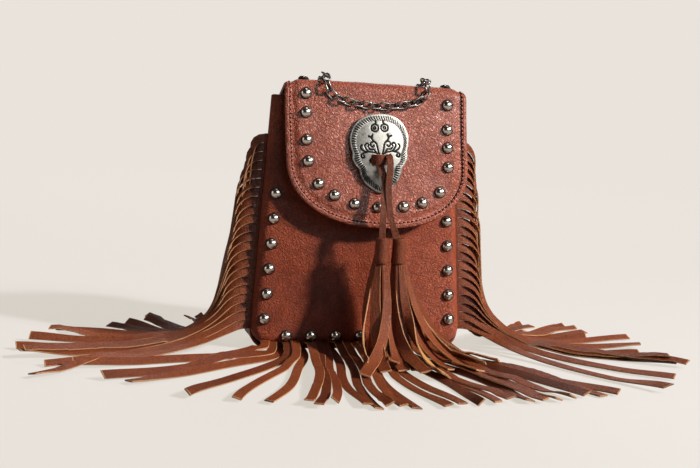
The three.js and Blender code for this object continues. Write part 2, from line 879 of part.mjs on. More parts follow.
function chainSide(side, across) {
  const lift = CHAIN.radius + CHAIN.bendClearance;
  const offRun = (run) => {
    const { point, normal } = flapSurface(across, run);
    return point.addScaledVector(normal, lift);
  };
  const backBendRun = FLAP_PROFILE[1].length;
  const anchorX = side * ANCHOR.across;
  const legX = offRun(FLAP.backRun / 2).x;
  const anchorFoot = ANCHOR.height - ANCHOR.ring - ANCHOR.wire - CHAIN.radius;
  const loop = CHAIN_LOOP.map(({ share, behind, rise }) =>
    vector(
      lerp(legX, anchorX, share),
      backFace(0) + CHAIN.radius + CHAIN.offBack + behind,
      CHAIN.radius + 2 * GAP + rise,
    ),
  );
  return [
    offRun(crestRun),
    offRun(topEndRun - 0.2 * FLAP.topRun),
    offRun(topEndRun - FLAP.topRun),
    offRun(FLAP.backRun + backBendRun / 2),
    offRun(FLAP.backRun),
    offRun(FLAP.backRun / 4),
    ...loop,
    vector(anchorX, backFace(anchorFoot) + CHAIN.radius + 2 * GAP, anchorFoot),
  ];
}

function chain() {
  const drape = CHAIN_DRAPE.map(({ across, down }) => {
    const bend = down < FLAP.frontBend ? CHAIN.bendClearance : GAP;
    return offFlap(across, down, CHAIN.radius + bend);
  });
  const left = chainSide(-1, CHAIN.left).reverse();
  const right = chainSide(1, CHAIN.right);
  return roundTube([...left, ...drape, ...right], CHAIN.radius, CHAIN.sides, CHAIN.steps);
}

function strapAnchor(side) {
  const { across, height, plateWidth, plateHeight, plateThickness, ring, wire } = ANCHOR;
  const plate = new THREE.BoxGeometry(plateWidth, plateThickness, plateHeight);
  const loop = new THREE.TorusGeometry(ring, wire, 6, 10).rotateX(quarter);
  const middle = plateThickness / 2;
  plate.translate(0, middle, ring - 1);
  loop.translate(0, wire, 0);
  const name = side < 0 ? "strap_anchor_left" : "strap_anchor_right";
  const anchor = piece(name, joined([plate, loop]), gunmetal);
  anchor.position.set(side * across, backFace(height - ring) + GAP, height);
  return anchor;
}

// Assembly

const body = new THREE.Group();
body.add(piece("front_panel", frontPanel(), leather));
body.add(piece("gusset", gusset(), leather));
body.add(piece("back_panel", backPanel(), leather));
panelStudSpots().forEach(({ x, z }, order) => {
  body.add(studOn(panelSeat(x, z), numbered("panel_stud", order)));
});

const closure = new THREE.Group();
closure.add(piece("flap", flap(), leather));
FLAP_STUDS.forEach(({ across, down }, order) => {
  closure.add(studOn(flapSurface(across, runAtDrop(down)), numbered("flap_stud", order)));
});
closure.add(conchoGroup());
closure.add(piece("lace", lace(), leather));
for (const row of TASSELS) closure.add(piece(`tassel_${row.side}`, tassel(row), suede));

const fringe = new THREE.Group();
fringe.add(piece("fringe_left", sideFringe(-1, LEFT_CURTAIN), suede));
fringe.add(piece("fringe_right", sideFringe(1, RIGHT_CURTAIN), suede));
fringe.add(piece("fringe_base", baseFringe(), suede));

const strap = new THREE.Group();
strap.add(piece("chain", chain(), gunmetal));
for (const side of [-1, 1]) strap.add(strapAnchor(side));

const bag = new THREE.Group();
bag.add(body, closure, fringe, strap);

export default bag;
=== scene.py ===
# %% [markdown]
# # A fringe bag in leather and metal
# The bag is big enough for a phone. Two panels and a gusset in brown leather make the body, a
# studded flap folds over the front, and a cast concho carries a lace with two tassels. A long
# fringe is sewn into the front seam, and a chain is the strap.
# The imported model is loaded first. It is the measured frame, and every piece below is worked out
# from the same sizes, so each one lands where the model says.

import bpy
import numpy as np
from mathutils import Matrix, Vector


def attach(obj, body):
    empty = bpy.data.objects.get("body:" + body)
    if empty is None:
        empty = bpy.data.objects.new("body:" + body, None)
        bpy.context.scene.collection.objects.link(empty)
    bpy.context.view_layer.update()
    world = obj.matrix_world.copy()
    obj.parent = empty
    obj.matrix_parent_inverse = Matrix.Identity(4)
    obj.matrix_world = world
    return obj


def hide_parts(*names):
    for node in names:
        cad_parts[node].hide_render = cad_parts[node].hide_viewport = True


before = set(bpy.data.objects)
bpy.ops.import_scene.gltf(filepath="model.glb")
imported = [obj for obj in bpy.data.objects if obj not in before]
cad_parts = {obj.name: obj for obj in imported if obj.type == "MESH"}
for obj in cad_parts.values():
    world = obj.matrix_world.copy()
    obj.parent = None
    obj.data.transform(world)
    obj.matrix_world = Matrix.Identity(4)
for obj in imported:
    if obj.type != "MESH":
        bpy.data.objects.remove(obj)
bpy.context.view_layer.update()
MM = 0.001
print("nodes in the frame:", len(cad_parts))

# %% [markdown]
# The camera stands a little left of the bag and a little above its middle, with a lens of 70 mm.
# It is also turned by a few degrees about its own axis, because the picture leans clockwise.

# %% Camera
VIEW = {"target": (-7.5, -20.0, 80.0), "distance": 919.6, "yaw": 12.0, "rise": 7.7, "roll": 2.5}
LENS = 70.0


def place_camera(view):
    """Camera on a sphere round the target: backward axis from yaw and rise, then a roll."""
    yaw, rise, roll = np.radians([view["yaw"], view["rise"], view["roll"]])
    back = np.array([-np.sin(yaw) * np.cos(rise), -np.cos(yaw) * np.cos(rise), np.sin(rise)])
    right = np.cross(-back, (0.0, 0.0, 1.0))
    right /= np.linalg.norm(right)
    up = np.cross(right, -back)
    place = np.eye(4)
    place[:3, 0] = right * np.cos(roll) + up * np.sin(roll)
    place[:3, 1] = up * np.cos(roll) - right * np.sin(roll)
    place[:3, 2] = back
    place[:3, 3] = (np.array(view["target"]) + view["distance"] * back) * MM
    data = bpy.data.cameras.new("camera")
    data.lens = LENS
    data.clip_start = 0.01
    camera = bpy.data.objects.new("camera", data)
    camera.matrix_world = Matrix(place.tolist())
    bpy.context.scene.collection.objects.link(camera)
    bpy.context.scene.camera = camera
    return camera


camera = place_camera(VIEW)
print("camera at", [round(value, 3) for value in camera.matrix_world.translation])

# %% [markdown]
# Every surface here is a grid of points worked out as one numpy array. A few helpers turn such
# arrays into meshes: quads between neighbouring rows, caps on the ends of tubes, and a wall with
# a rounded rim under a sheet. A closed mesh is turned the right way round by the sign of its
# volume, which is cheaper and surer than asking Blender to guess.

# %% Mesh helpers


def smooth(value, low, high):
    """3t^2 - 2t^3, where t runs from 0 at low to 1 at high."""
    t = np.clip((value - low) / (high - low), 0, 1)
    return t * t * (3 - 2 * t)


def unit(vectors):
    """Vectors scaled to length 1."""
    return vectors / np.maximum(np.linalg.norm(vectors, axis=-1, keepdims=True), 1e-12)


def quads_of(number):
    """Quads between the neighbouring rows and columns of an array of point numbers."""
    corners = (number[:-1, :-1], number[:-1, 1:], number[1:, 1:], number[1:, :-1])
    return np.stack(corners, -1).reshape(-1, 4)


def tube_faces(count, sections, corners):
    """Side quads and end caps of tubes whose points run tube by tube, section by section."""
    number = np.arange(sections * corners).reshape(sections, corners)
    start = np.arange(count) * sections * corners
    sides = quads_of(np.c_[number, number[:, :1]])
    sides = (sides[None] + start[:, None, None]).reshape(-1, 4)
    first = start[:, None] + number[0, ::-1]
    last = start[:, None] + number[-1]
    return [sides, first, last]


def ring_quads(rows, columns):
    """Quads of a grid that closes on itself both ways, like the skin of a ring."""
    number = np.arange(rows * columns).reshape(rows, columns)
    number = np.r_[number, number[:1]]
    return quads_of(np.c_[number, number[:, :1]])


def turned_profile(profile, steps):
    """A profile of (radius, height) rows turned about the Z axis."""
    radius, height = np.asarray(profile, float).T
    turn = np.linspace(0, 2 * np.pi, steps, endpoint=False)
    across = radius[:, None] * np.cos(turn)
    along = radius[:, None] * np.sin(turn)
    return np.stack([across, along, np.repeat(height[:, None], steps, 1)], -1)


def wall_under(outer, normal, thickness, rounding=4):
    """Closed wall: the sheet, a second one a thickness below, and half circles round the rim."""
    rows, columns = outer.shape[:2]
    number = np.arange(rows * columns).reshape(rows, columns)
    inner = outer - normal * thickness
    rim = np.concatenate([number[0, :-1], number[:-1, -1], number[-1, :0:-1], number[:0:-1, 0]])
    top = outer.reshape(-1, 3)[rim]
    low = inner.reshape(-1, 3)[rim]
    along = np.roll(top, -1, 0) - np.roll(top, 1, 0)
    away = unit(np.cross(top - low, along))
    facing = np.cross(np.gradient(outer, axis=0), np.gradient(outer, axis=1))
    if (facing * normal).sum() < 0:
        away = -away
    turn = np.linspace(0, np.pi, rounding + 1)[1:-1, None, None]
    half = np.linalg.norm(top - low, axis=1, keepdims=True) / 2
    rings = (top + low) / 2 + (top - low) / 2 * np.cos(turn) + away * half * np.sin(turn)
    loops = np.arange(2 * rows * columns, 2 * rows * columns + rings.size // 3)
    loops = np.r_[rim[None], loops.reshape(rounding - 1, -1), rim[None] + rows * columns]
    loops = np.c_[loops, loops[:, :1]]
    points = np.concatenate([outer.reshape(-1, 3), inner.reshape(-1, 3), rings.reshape(-1, 3)])
    under = quads_of(number)[:, ::-1] + rows * columns
    return points, [quads_of(number), under, quads_of(loops)[:, ::-1]]


def signed_volume(points, faces):
    """Six times the volume inside the faces: the sum of a . (b x c) over their triangles."""
    total = 0.0
    for group in faces:
        for corner in range(1, group.shape[1] - 1):
            a, b, c = (points[group[:, k]] for k in (0, corner, corner + 1))
            total += np.einsum("ij,ij->", a, np.cross(b, c))
    return total


def make_object(name, points, faces, finish, crease=None, marks=None):
    """Mesh object from points in millimetres and arrays of corner numbers."""
    loops = np.concatenate([group.ravel() for group in faces])
    sizes = np.concatenate([np.full(len(group), group.shape[1]) for group in faces])
    mesh = bpy.data.meshes.new(name)
    mesh.vertices.add(len(points))
    mesh.vertices.foreach_set("co", (points * MM).astype(np.float32).ravel())
    mesh.loops.add(len(loops))
    mesh.loops.foreach_set("vertex_index", loops.astype(np.int32))
    mesh.polygons.add(len(sizes))
    mesh.polygons.foreach_set("loop_start", np.r_[0, np.cumsum(sizes)[:-1]].astype(np.int32))
    mesh.update(calc_edges=True)
    mesh.shade_smooth()
    if crease:
        mesh.set_sharp_from_angle(angle=np.radians(crease))
    for label, values in (marks or {}).items():
        layer = mesh.attributes.new(label, "FLOAT", "POINT")
        layer.data.foreach_set("value", np.asarray(values, np.float32).ravel())
    mesh.materials.append(finish)
    piece = bpy.data.objects.new(name, mesh)
    bpy.context.scene.collection.objects.link(piece)
    return piece


def add_piece(name, shape, finish, replaced=(), crease=None, marks=None):
    """A closed piece of the bag, turned outwards, riding on the bag's one body."""
    points, faces = shape
    if signed_volume(points, faces) < 0:
        faces = [group[:, ::-1] for group in faces]
    piece = make_object(name, points, faces, finish, crease, marks)
    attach(piece, "root")
    if replaced:
        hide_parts(*replaced)
    triangles = sum(len(group) * (group.shape[1] - 2) for group in faces)
    print(name, "has", triangles, "triangles")
    return piece


def joined(shapes):
    """Several closed shapes as one list of points and faces."""
    starts = np.cumsum([0] + [len(points) for points, _ in shapes])
    points = np.concatenate([points for points, _ in shapes])
    faces = [group + start for (_, groups), start in zip(shapes, starts) for group in groups]
    return points, faces


# %% [markdown]
# A finish is a Principled shader with nodes in front of it. Sums of values are easier to read as
# Python than as wires, so a small class wraps a socket and lets it take part in an expression.
# Every other kind of node comes from one method, which sets the node's options and then its
# sockets, and a few short methods name the nodes that all the finishes share.

# %% Shader helpers


def srgb(red, green, blue):
    """A colour given as 0 to 255 in sRGB, in the linear numbers that a shader takes."""
    share = np.array([red, green, blue]) / 255
    linear = np.where(share <= 0.04045, share / 12.92, ((share + 0.055) / 1.055) ** 2.4)
    return (*linear.tolist(), 1.0)


class Tone:
    """A shader socket that takes part in sums: each operator adds one Math node."""

    def __init__(self, tree, socket):
        self.tree = tree
        self.socket = socket

    def math(self, operation, first, second=0.0):
        """The result of one Math node on two values."""
        node = self.tree.nodes.new("ShaderNodeMath")
        node.operation = operation
        for socket, value in zip(node.inputs, (first, second)):
            connect(self.tree, value, socket)
        return Tone(self.tree, node.outputs[0])

    def __add__(self, other):
        return self.math("ADD", self, other)

    def __radd__(self, other):
        return self.math("ADD", other, self)

    def __sub__(self, other):
        return self.math("SUBTRACT", self, other)

    def __rsub__(self, other):
        return self.math("SUBTRACT", other, self)

    def __mul__(self, other):
        return self.math("MULTIPLY", self, other)

    def __rmul__(self, other):
        return self.math("MULTIPLY", other, self)

    def __abs__(self):
        return self.math("ABSOLUTE", self)


def connect(tree, value, socket):
    """Links a socket to a tone, or sets it to a plain value."""
    if isinstance(value, Tone):
        tree.links.new(value.socket, socket)
    else:
        socket.default_value = value


class Finish:
    """One material: a Principled shader, its constant sockets and the nodes that feed it."""

    def __init__(self, name, constants):
        self.material = bpy.data.materials.new(name)
        self.material.use_nodes = True
        self.tree = self.material.node_tree
        self.shader = self.tree.nodes["Principled BSDF"]
        self.feed(constants)

    def node(self, kind, settings=None, sockets=None, output=0):
        """One output of a new node, after its options and then its sockets are set."""
        node = self.tree.nodes.new(kind)
        for label, value in (settings or {}).items():
            if label == "stops":
                ramp = node.color_ramp.elements
                while len(ramp) < len(value):
                    ramp.new(1.0)
                for stop, (place, colour) in zip(ramp, value):
                    stop.position = place
                    stop.color = colour
            else:
                setattr(node, label, value)
        for label, value in (sockets or {}).items():
            connect(self.tree, value, node.inputs[label])
        return Tone(self.tree, node.outputs[output])

    def feed(self, sockets):
        """Sets or links the named sockets of the shader itself."""
        for label, value in sockets.items():
            connect(self.tree, value, self.shader.inputs[label])

    def place(self):
        """Where each point lies, in metres, in the bag's own frame."""
        return self.node("ShaderNodeTexCoord", output="Object")

    def mark(self, name):
        """A number that the mesh carries at each of its points."""
        return self.node("ShaderNodeAttribute", {"attribute_name": name}, output="Fac")

    def noise(self, place, sockets, output=0):
        """Cloudy noise about a half, with so many waves to the metre."""
        return self.node("ShaderNodeTexNoise", {}, {"Vector": place, **sockets}, output)

    def step(self, value, low, high):
        """3t^2 - 2t^3, where t runs from 0 at low to 1 at high."""
        sockets = {"Value": value, "From Min": low, "From Max": high}
        return self.node("ShaderNodeMapRange", {"interpolation_type": "SMOOTHSTEP"}, sockets)

    def ramp(self, value, stops):
        """The colour of a ramp at a value."""
        return self.node("ShaderNodeValToRGB", {"stops": stops}, {"Fac": value}, "Color")

    def mix(self, share, first, second):
        """A colour between two: sockets 6 and 7 of the node are the colours, output 2 the mix."""
        sockets = {0: share, 6: first, 7: second}
        return self.node("ShaderNodeMix", {"data_type": "RGBA"}, sockets, 2)

    def bump(self, height, strength, depth):
        """The normal tilted by the slope of a height, with its depth given in mm."""
        sockets = {"Strength": strength, "Distance": depth * MM, "Height": height}
        return self.node("ShaderNodeBump", {}, sockets)


# %% [markdown]
# The bag's leather is a semi-gloss hide with a small pebbled grain. Voronoi cells give the pebbles,
# a warped noise gives the fine creases that run across them, and a broad noise lets the brown
# drift between a red and a darker tone. The same grain drives colour, roughness and bump, so the
# crevices are painted darker as painted shade, and are duller and lower together, and the drift
# makes the grain deeper in some places than in others.
# One function makes two finishes. The body's hide is dull and finely grained, and the flap's is
# coarser and polished by hands. Where a mesh's rubbing mark is high, the leather is smoother and
# has more of a clear coat, and its colour is also painted paler, as painted sheen and light; where
# the mark is below zero the colour is painted darker, as painted shade.

# %% Leather finish
RED_BROWN = srgb(160, 72, 42)
DEEP_BROWN = srgb(122, 50, 26)
LIGHT_BROWN = srgb(176, 86, 56)
RUBBED_AND_LIT_BROWN = srgb(188, 98, 72)
CREVICE_SHADE = srgb(66, 22, 12)
BODY_STOPS = [(0.25, DEEP_BROWN), (0.5, RED_BROWN), (0.7, LIGHT_BROWN), (0.95, RUBBED_AND_LIT_BROWN)]
GRAIN_SWAY = {"scale": 160.0, "reach": 2.2}
GRAIN_EDGE = {"pebble": 0.22, "crease": 0.07}
CREASE_NOISE = {"Scale": 150.0, "Detail": 4.0, "Roughness": 0.6, "Distortion": 1.0}
DRIFT_NOISE = {"Scale": 34.0, "Detail": 3.0, "Roughness": 0.55}
LEATHER_WEAR_AND_SHADE = {"crevice_shade": 0.36, "dull": 0.15, "polish": 0.6, "coat": 0.03}


def leather_grain(finish, pebble):
    """Grain from cells of the given size in mm: (height of the pebbles, creases, broad drift)."""
    place = finish.place()
    sway = finish.noise(place, {"Scale": GRAIN_SWAY["scale"]}, "Color")
    reach = (GRAIN_SWAY["reach"] * MM,) * 3
    warped = finish.node(
        "ShaderNodeVectorMath", {"operation": "MULTIPLY_ADD"}, {0: sway, 1: reach, 2: place}
    )
    cells = finish.node(
        "ShaderNodeTexVoronoi",
        {"feature": "DISTANCE_TO_EDGE"},
        {"Vector": warped, "Scale": 1 / (pebble * MM)},
        "Distance",
    )
    domes = finish.step(cells, 0.0, GRAIN_EDGE["pebble"])
    lines = finish.noise(warped, CREASE_NOISE)
    creases = finish.step(abs(lines - 0.5), 0.0, GRAIN_EDGE["crease"])
    return domes, creases, finish.noise(place, DRIFT_NOISE)


def leather_finish(name, pebble, roughness, shine):
    """Pebbled leather: ramp over the drift, painted crevice shade, and painted light by the rubbing
    mark.
    """
    finish = Finish(name, {"Coat Roughness": 0.3, "Specular IOR Level": shine})
    domes, creases, drift = leather_grain(finish, pebble)
    rubbed = finish.mark("rubbed")
    # Where the grain lies low a dark brown is mixed in: painted shade in the crevices.
    low = 1 - domes * (creases * 0.5 + 0.5)
    # The rubbing mark shifts the ramp: painted sheen and light where it is high, painted shade below
    # zero.
    hide = finish.ramp(drift + rubbed, BODY_STOPS)
    height = (domes * 0.35 + creases * 0.65) * (rubbed + 0.7) * (drift * 3 - 0.5)
    finish.feed(
        {
            "Base Color": finish.mix(low * LEATHER_WEAR_AND_SHADE["crevice_shade"], hide, CREVICE_SHADE),
            "Roughness": low * LEATHER_WEAR_AND_SHADE["dull"] - rubbed * LEATHER_WEAR_AND_SHADE["polish"] + roughness,
            "Coat Weight": rubbed + LEATHER_WEAR_AND_SHADE["coat"],
            "Normal": finish.bump(height, 0.9, 0.6),
        }
    )
    return finish.material


body_leather = leather_finish("body_leather", pebble=1.9, roughness=0.44, shine=0.17)
polished_leather = leather_finish("polished_leather", pebble=2.5, roughness=0.42, shine=0.4)
print("finishes:", body_leather.name, polished_leather.name)

# %% [markdown]
# The strips of the fringe are cut from a thinner hide. Their face is the same brown, but the cut
# edges and the flesh side are a raw golden tan. Each strip's mesh carries a number called cut,
# which is 0 on the face, 1 on the edges and the tip and a half on the back, and the finish mixes
# by it. A second number called tone makes each strip a little lighter or darker than the next.
# The stitches' thread is painted dark in the gaps between stitches, as painted shade of the holes,
# and metal is dark with patina in its hollows and with painted shade in a few places.

# %% Strip, thread and metal finishes
STRIP_BROWN = srgb(138, 67, 33)
STRIP_DEEP = srgb(108, 49, 23)
STRIP_LIGHT = srgb(160, 84, 46)
RAW_TAN = srgb(206, 148, 84)
EDGE_TAN = srgb(208, 154, 114)
STRIP_STOPS = [(0.2, STRIP_DEEP), (0.5, STRIP_BROWN), (0.85, STRIP_LIGHT)]
STRIP_PEBBLE = 1.1
WAX_STOPS = [(0.3, srgb(158, 88, 68)), (0.7, srgb(196, 126, 104))]
STITCH_HOLE_SHADE = srgb(62, 20, 12)


def strip_finish():
    """Strip leather: brown on the face, golden tan where the mark called cut is set."""
    finish = Finish("strip_leather", {"Specular IOR Level": 0.17})
    domes, creases, drift = leather_grain(finish, STRIP_PEBBLE)
    cut = finish.mark("cut")
    tone = finish.mark("tone")
    low = 1 - domes * (creases * 0.4 + 0.6)
    # The face is painted darker where the grain lies low, and its raw tan a little too: painted shade in
    # the crevices.
    shaded_face = finish.mix(low * 0.6, finish.ramp(drift * 0.5 + tone * 0.5, STRIP_STOPS), CREVICE_SHADE)
    raw = finish.step(cut, 0.15, 0.45)
    tan = finish.mix(finish.step(cut, 0.55, 0.85), RAW_TAN, EDGE_TAN)
    finish.feed(
        {
            "Base Color": finish.mix(raw * (0.95 - low * 0.2), shaded_face, tan),
            "Roughness": low * 0.15 + raw * 0.3 + 0.42,
            "Normal": finish.bump(domes * 0.5 + creases * 0.5, 0.7, 0.32),
        }
    )
    return finish.material


def thread_finish():
    """Waxed thread: fine turns across the stitch, and painted dark where its mark is set (hole shade).
    """
    finish = Finish("waxed_thread", {"Roughness": 0.7, "Specular IOR Level": 0.15})
    fibre = finish.noise(finish.place(), {"Scale": 2600.0, "Detail": 2.0})
    # The mark set on the pieces between the stitches paints them dark: painted shade of the holes.
    colour = finish.mix(finish.mark("hole"), finish.ramp(fibre, WAX_STOPS), STITCH_HOLE_SHADE)
    finish.feed({"Base Color": colour, "Normal": finish.bump(fibre, 0.5, 0.1)})
    return finish.material


def metal_finish(name, bright, dark, roughness, patina, tarnish=0.0):
    """Metal darkened where its mark is set, broken up by a fine noise: patina, and some painted shade.
    """
    finish = Finish(name, {})
    place = finish.place()
    cloud = finish.noise(place, {"Scale": 220.0, "Detail": 5.0})
    fine = finish.noise(place, {"Scale": 1500.0, "Detail": 3.0})
    # The mark and a cloudy noise darken the metal: patina, and on some pieces painted shade.
    darkening = finish.step(finish.mark("hollow") + (cloud - 0.5) * patina + tarnish, 0.25, 0.75)
    finish.feed(
        {
            "Base Color": finish.mix(darkening, bright, dark),
            "Metallic": 1 - darkening * 0.4,
            "Roughness": darkening * 0.3 + cloud * 0.12 + roughness,
            "Normal": finish.bump(fine, 0.12, 0.05),
        }
    )
    return finish.material


strip_leather = strip_finish()
thread = thread_finish()
silver = metal_finish("antique_silver", srgb(142, 139, 132), srgb(14, 13, 11), 0.4, 1.1, 0.18)
stud_metal = metal_finish("stud_metal", srgb(172, 164, 154), srgb(16, 14, 12), 0.15, 0.1)
gunmetal = metal_finish("gunmetal", srgb(120, 112, 106), srgb(26, 23, 21), 0.2, 0.3)
print("finishes:", strip_leather.name, thread.name, silver.name, stud_metal.name, gunmetal.name)

# %% [markdown]
# The stage is a pale seamless floor that curves up far away. Most of its brightness is its own, so
# the shadow on it stays light, as it does on a studio sweep. The far part isn't seen by bounced
# light, which leaves the room dark enough for the metal to have something to reflect.
# A sun from the right and above gives the clear shadows, and a small key lamp near the bag falls
# off across it. A broad soft box and a smaller one overhead show in the gloss alone. A weak box
# behind keeps the back from going black, and a round fill opens the shade on the left.

# %% Stage and light
FLOOR_COLOUR = srgb(124, 122, 125)
FLOOR_GLOW = srgb(208, 202, 192)
BACKGROUND = srgb(233, 227, 220)
BLACK = srgb(0, 0, 0)
ROOM_COLOUR = srgb(240, 232, 224)
ROOM_STRENGTH = 0.036
FLOOR_PROFILE = [(0.01, 0.0), (0.6, 0.0), (1.6, 0.0)]
SWEEP_PROFILE = [(1.6, 0.0), (3.0, 0.0), (3.6, 0.1), (4.1, 0.4), (4.4, 0.9), (4.5, 2.0), (4.5, 4.0)]
STAGE_STEPS = 64
SUN = {"kind": "SUN", "angle": np.radians(4)}
DISK = {"kind": "AREA", "shape": "DISK"}
BOX = {"kind": "AREA", "shape": "RECTANGLE"}
LIGHTS = {
    "sun": {"towards": (0.75, -0.51, 0.5), "distance": 3.0, "power": 3.5, **SUN},
    "key": {"towards": (0.75, -0.51, 0.54), "distance": 0.75, "power": 2.4, "size": 0.07, **DISK},
    "soft_box": {
        "towards": (0.42, -0.8, 0.44),
        "distance": 1.5,
        "power": 16.0,
        "size": 1.0,
        "size_y": 0.7,
        **BOX,
    },
    "back_box": {
        "towards": (0.25, 0.95, 0.6),
        "distance": 1.7,
        "power": 8.0,
        "size": 1.0,
        "size_y": 0.8,
        **BOX,
    },
    "fill": {"towards": (-0.95, -0.12, 0.24), "distance": 1.2, "power": 2.2, "size": 0.7, **DISK},
    "top_box": {"towards": (0.12, -0.1, 0.98), "distance": 1.2, "power": 2.2, "size": 0.5, **DISK},
}
GLOSS_LIGHTS = ("soft_box", "top_box")
LIGHTS_AIM = Vector((0, 0, 0.08))


def stage_finish():
    """Pale floor: near the bag it takes shadows, and far away it only glows, in one even tone."""
    constants = {"Roughness": 0.7, "Specular IOR Level": 0.0, "Emission Strength": 1.0}
    finish = Finish("stage_floor", constants)
    length = {"operation": "LENGTH"}
    reach = finish.node("ShaderNodeVectorMath", length, {0: finish.place()}, "Value")
    far = finish.step(reach, 0.35, 1.5)
    paint = finish.mix(far, FLOOR_COLOUR, BLACK)
    glow = finish.mix(far, FLOOR_GLOW, BACKGROUND)
    finish.feed({"Base Color": paint, "Emission Color": glow})
    return finish.material


def add_stage(name, profile, closed):
    """A turned sheet of the stage, closed in the middle or left as a ring."""
    points = turned_profile(profile, STAGE_STEPS) / MM
    sides, middle, _ = tube_faces(1, len(profile), STAGE_STEPS)
    faces = [sides[:, ::-1], middle[:, ::-1]] if closed else [sides[:, ::-1]]
    sheet = make_object(name, points.reshape(-1, 3), faces, stage_paint)
    sheet.visible_diffuse = False
    return sheet


def aim_light(name, kind, towards, distance, power, **settings):
    """A light that stands in a direction from the bag's middle and shines back at it."""
    data = bpy.data.lights.new(name, kind)
    data.energy = power
    for label, value in settings.items():
        setattr(data, label, value)
    lamp = bpy.data.objects.new(name, data)
    direction = Vector(towards).normalized()
    lamp.location = direction * distance + LIGHTS_AIM
    lamp.rotation_euler = direction.to_track_quat("Z", "Y").to_euler()
    bpy.context.scene.collection.objects.link(lamp)
    return lamp


stage_paint = stage_finish()
floor = add_stage("floor", FLOOR_PROFILE, True)
sweep = add_stage("sweep", SWEEP_PROFILE, False)
sweep.visible_glossy = False
sweep.visible_shadow = False
lamps = {name: aim_light(name, **settings) for name, settings in LIGHTS.items()}
for name in GLOSS_LIGHTS:
    lamps[name].visible_diffuse = False
world = bpy.data.worlds.new("room")
world.use_nodes = True
room = world.node_tree.nodes["Background"]
room.inputs["Color"].default_value = ROOM_COLOUR
room.inputs["Strength"].default_value = ROOM_STRENGTH
bpy.context.scene.world = world
bpy.context.scene.view_settings.view_transform = "Standard"
print("stage:", floor.name, sweep.name, "and", len(lamps), "lights")

# %% [markdown]
# The body is a tapered pouch. Its front panel has edges that roll back to the seam and a soft swell
# in the middle. It could be a box with bevels, but one function that gives the panel's surface at
# any place across and up also seats the studs and the stitches later, with the same call.
# The panel's colour is painted paler on the right half and darker on the left, as painted light and
# shade.

# %% Body sizes and the front panel
GAP = 0.3
LEATHER = 2.0
RIM = LEATHER / 2
BODY = {
    "height": 171.0,
    "back_height": 157.0,
    "base_width": 147.0,
    "top_width": 125.0,
    "base_front": -23.0,
    "top_front": -15.0,
    "base_back": 23.0,
    "top_back": 19.0,
    "corner": 12.0,
    "roll": 6.0,
    "bulge": 3.0,
    "front_rim": 4.5,
    "gusset_sag": 11.0,
    "back_narrow": 8.0,
    "narrow_from": 80.0,
}
PANEL_GRID = {"roll": 9, "rows": 110, "columns": 90}
PANEL_DENTS = {"depth": 0.7, "seed": 3, "length": 48.0}
# Painted light and shade: the panel's colour is painted darker on its left and paler on its right.
PANEL_LIGHT_AND_RUB = {"across": (-50, 20, 50), "rubbed": (-0.12, -0.01, 0.13)}


def up_the_body(z, base, top):
    """A size that changes evenly from the base to the top of the body."""
    return BODY[base] + (BODY[top] - BODY[base]) * z / BODY["height"]


def taper(z):
    """Half of the body's width at a height."""
    return up_the_body(z, "base_width", "top_width") / 2


def seam(z):
    """Depth of the front seam at a height."""
    return up_the_body(z, "base_front", "top_front") + BODY["roll"]


def back_face(z):
    """Depth of the back panel's outer face at a height."""
    return up_the_body(z, "base_back", "top_back")


def drawn_in(z):
    """How far each side of the back is drawn in towards its top."""
    return BODY["back_narrow"] * smooth(z, BODY["narrow_from"], BODY["back_height"])


def cornered_half(z, bottom):
    """Half width with the two lower corners rounded."""
    below = np.maximum(0, BODY["corner"] - (z - bottom))
    return taper(z) - BODY["corner"] + np.sqrt(BODY["corner"] ** 2 - below**2)


def waves(across, up, seed, length, count=7):
    """Mean of plane waves with random directions: soft dents about one length apart."""
    draw = np.random.default_rng(seed)
    turn = draw.uniform(0, 2 * np.pi, count)
    pace = draw.uniform(0.7, 1.5, count) * 2 * np.pi / length
    phase = draw.uniform(0, 2 * np.pi, count)
    path = across[..., None] * np.cos(turn) + up[..., None] * np.sin(turn)
    return np.sin(path * pace + phase).mean(-1)


def panel_point(x, z):
    """Front panel: seam depth less roll times sin(turn), less a swell in the middle."""
    rim = BODY["front_rim"]
    past_side = np.abs(x) - (taper(z) - BODY["corner"])
    past_base = rim + BODY["corner"] - z
    flat_inset = np.minimum(taper(z) - np.abs(x), z - rim)
    corner_inset = BODY["corner"] - np.hypot(past_side, past_base)
    inset = np.where((past_side > 0) & (past_base > 0), corner_inset, flat_inset)
    turn = np.arccos(np.clip(1 - inset / BODY["roll"], 0, 1))
    swell = BODY["bulge"] * (1 - (x / taper(z)) ** 2) * np.sin(np.pi * z / BODY["height"])
    dents = waves(x, z, PANEL_DENTS["seed"], PANEL_DENTS["length"]) * smooth(inset, 5, 20)
    y = seam(z) - BODY["roll"] * np.sin(turn) - swell + PANEL_DENTS["depth"] * dents
    return np.stack([x, y, z], -1)


def face_normal(points):
    """Unit normal of a grid of points, from the steps along its rows and columns."""
    return unit(np.cross(np.gradient(points, axis=1), np.gradient(points, axis=0)))


def panel_grid():
    """Rows up the panel and columns across it, closer together where the edge rolls over."""
    bend = BODY["roll"] * (1 - np.cos(np.linspace(0, np.pi / 2, PANEL_GRID["roll"])))
    flat = np.linspace(BODY["roll"], BODY["height"] - BODY["front_rim"], PANEL_GRID["rows"])
    z = BODY["front_rim"] + np.r_[bend, flat[1:]]
    half = cornered_half(z, BODY["front_rim"])[:, None]
    middle = (half - BODY["roll"]) * np.linspace(-1, 1, PANEL_GRID["columns"])[None, 1:-1]
    x = np.concatenate([bend - half, middle, half - bend[::-1]], 1)
    return panel_point(x, np.repeat(z[:, None], x.shape[1], 1))


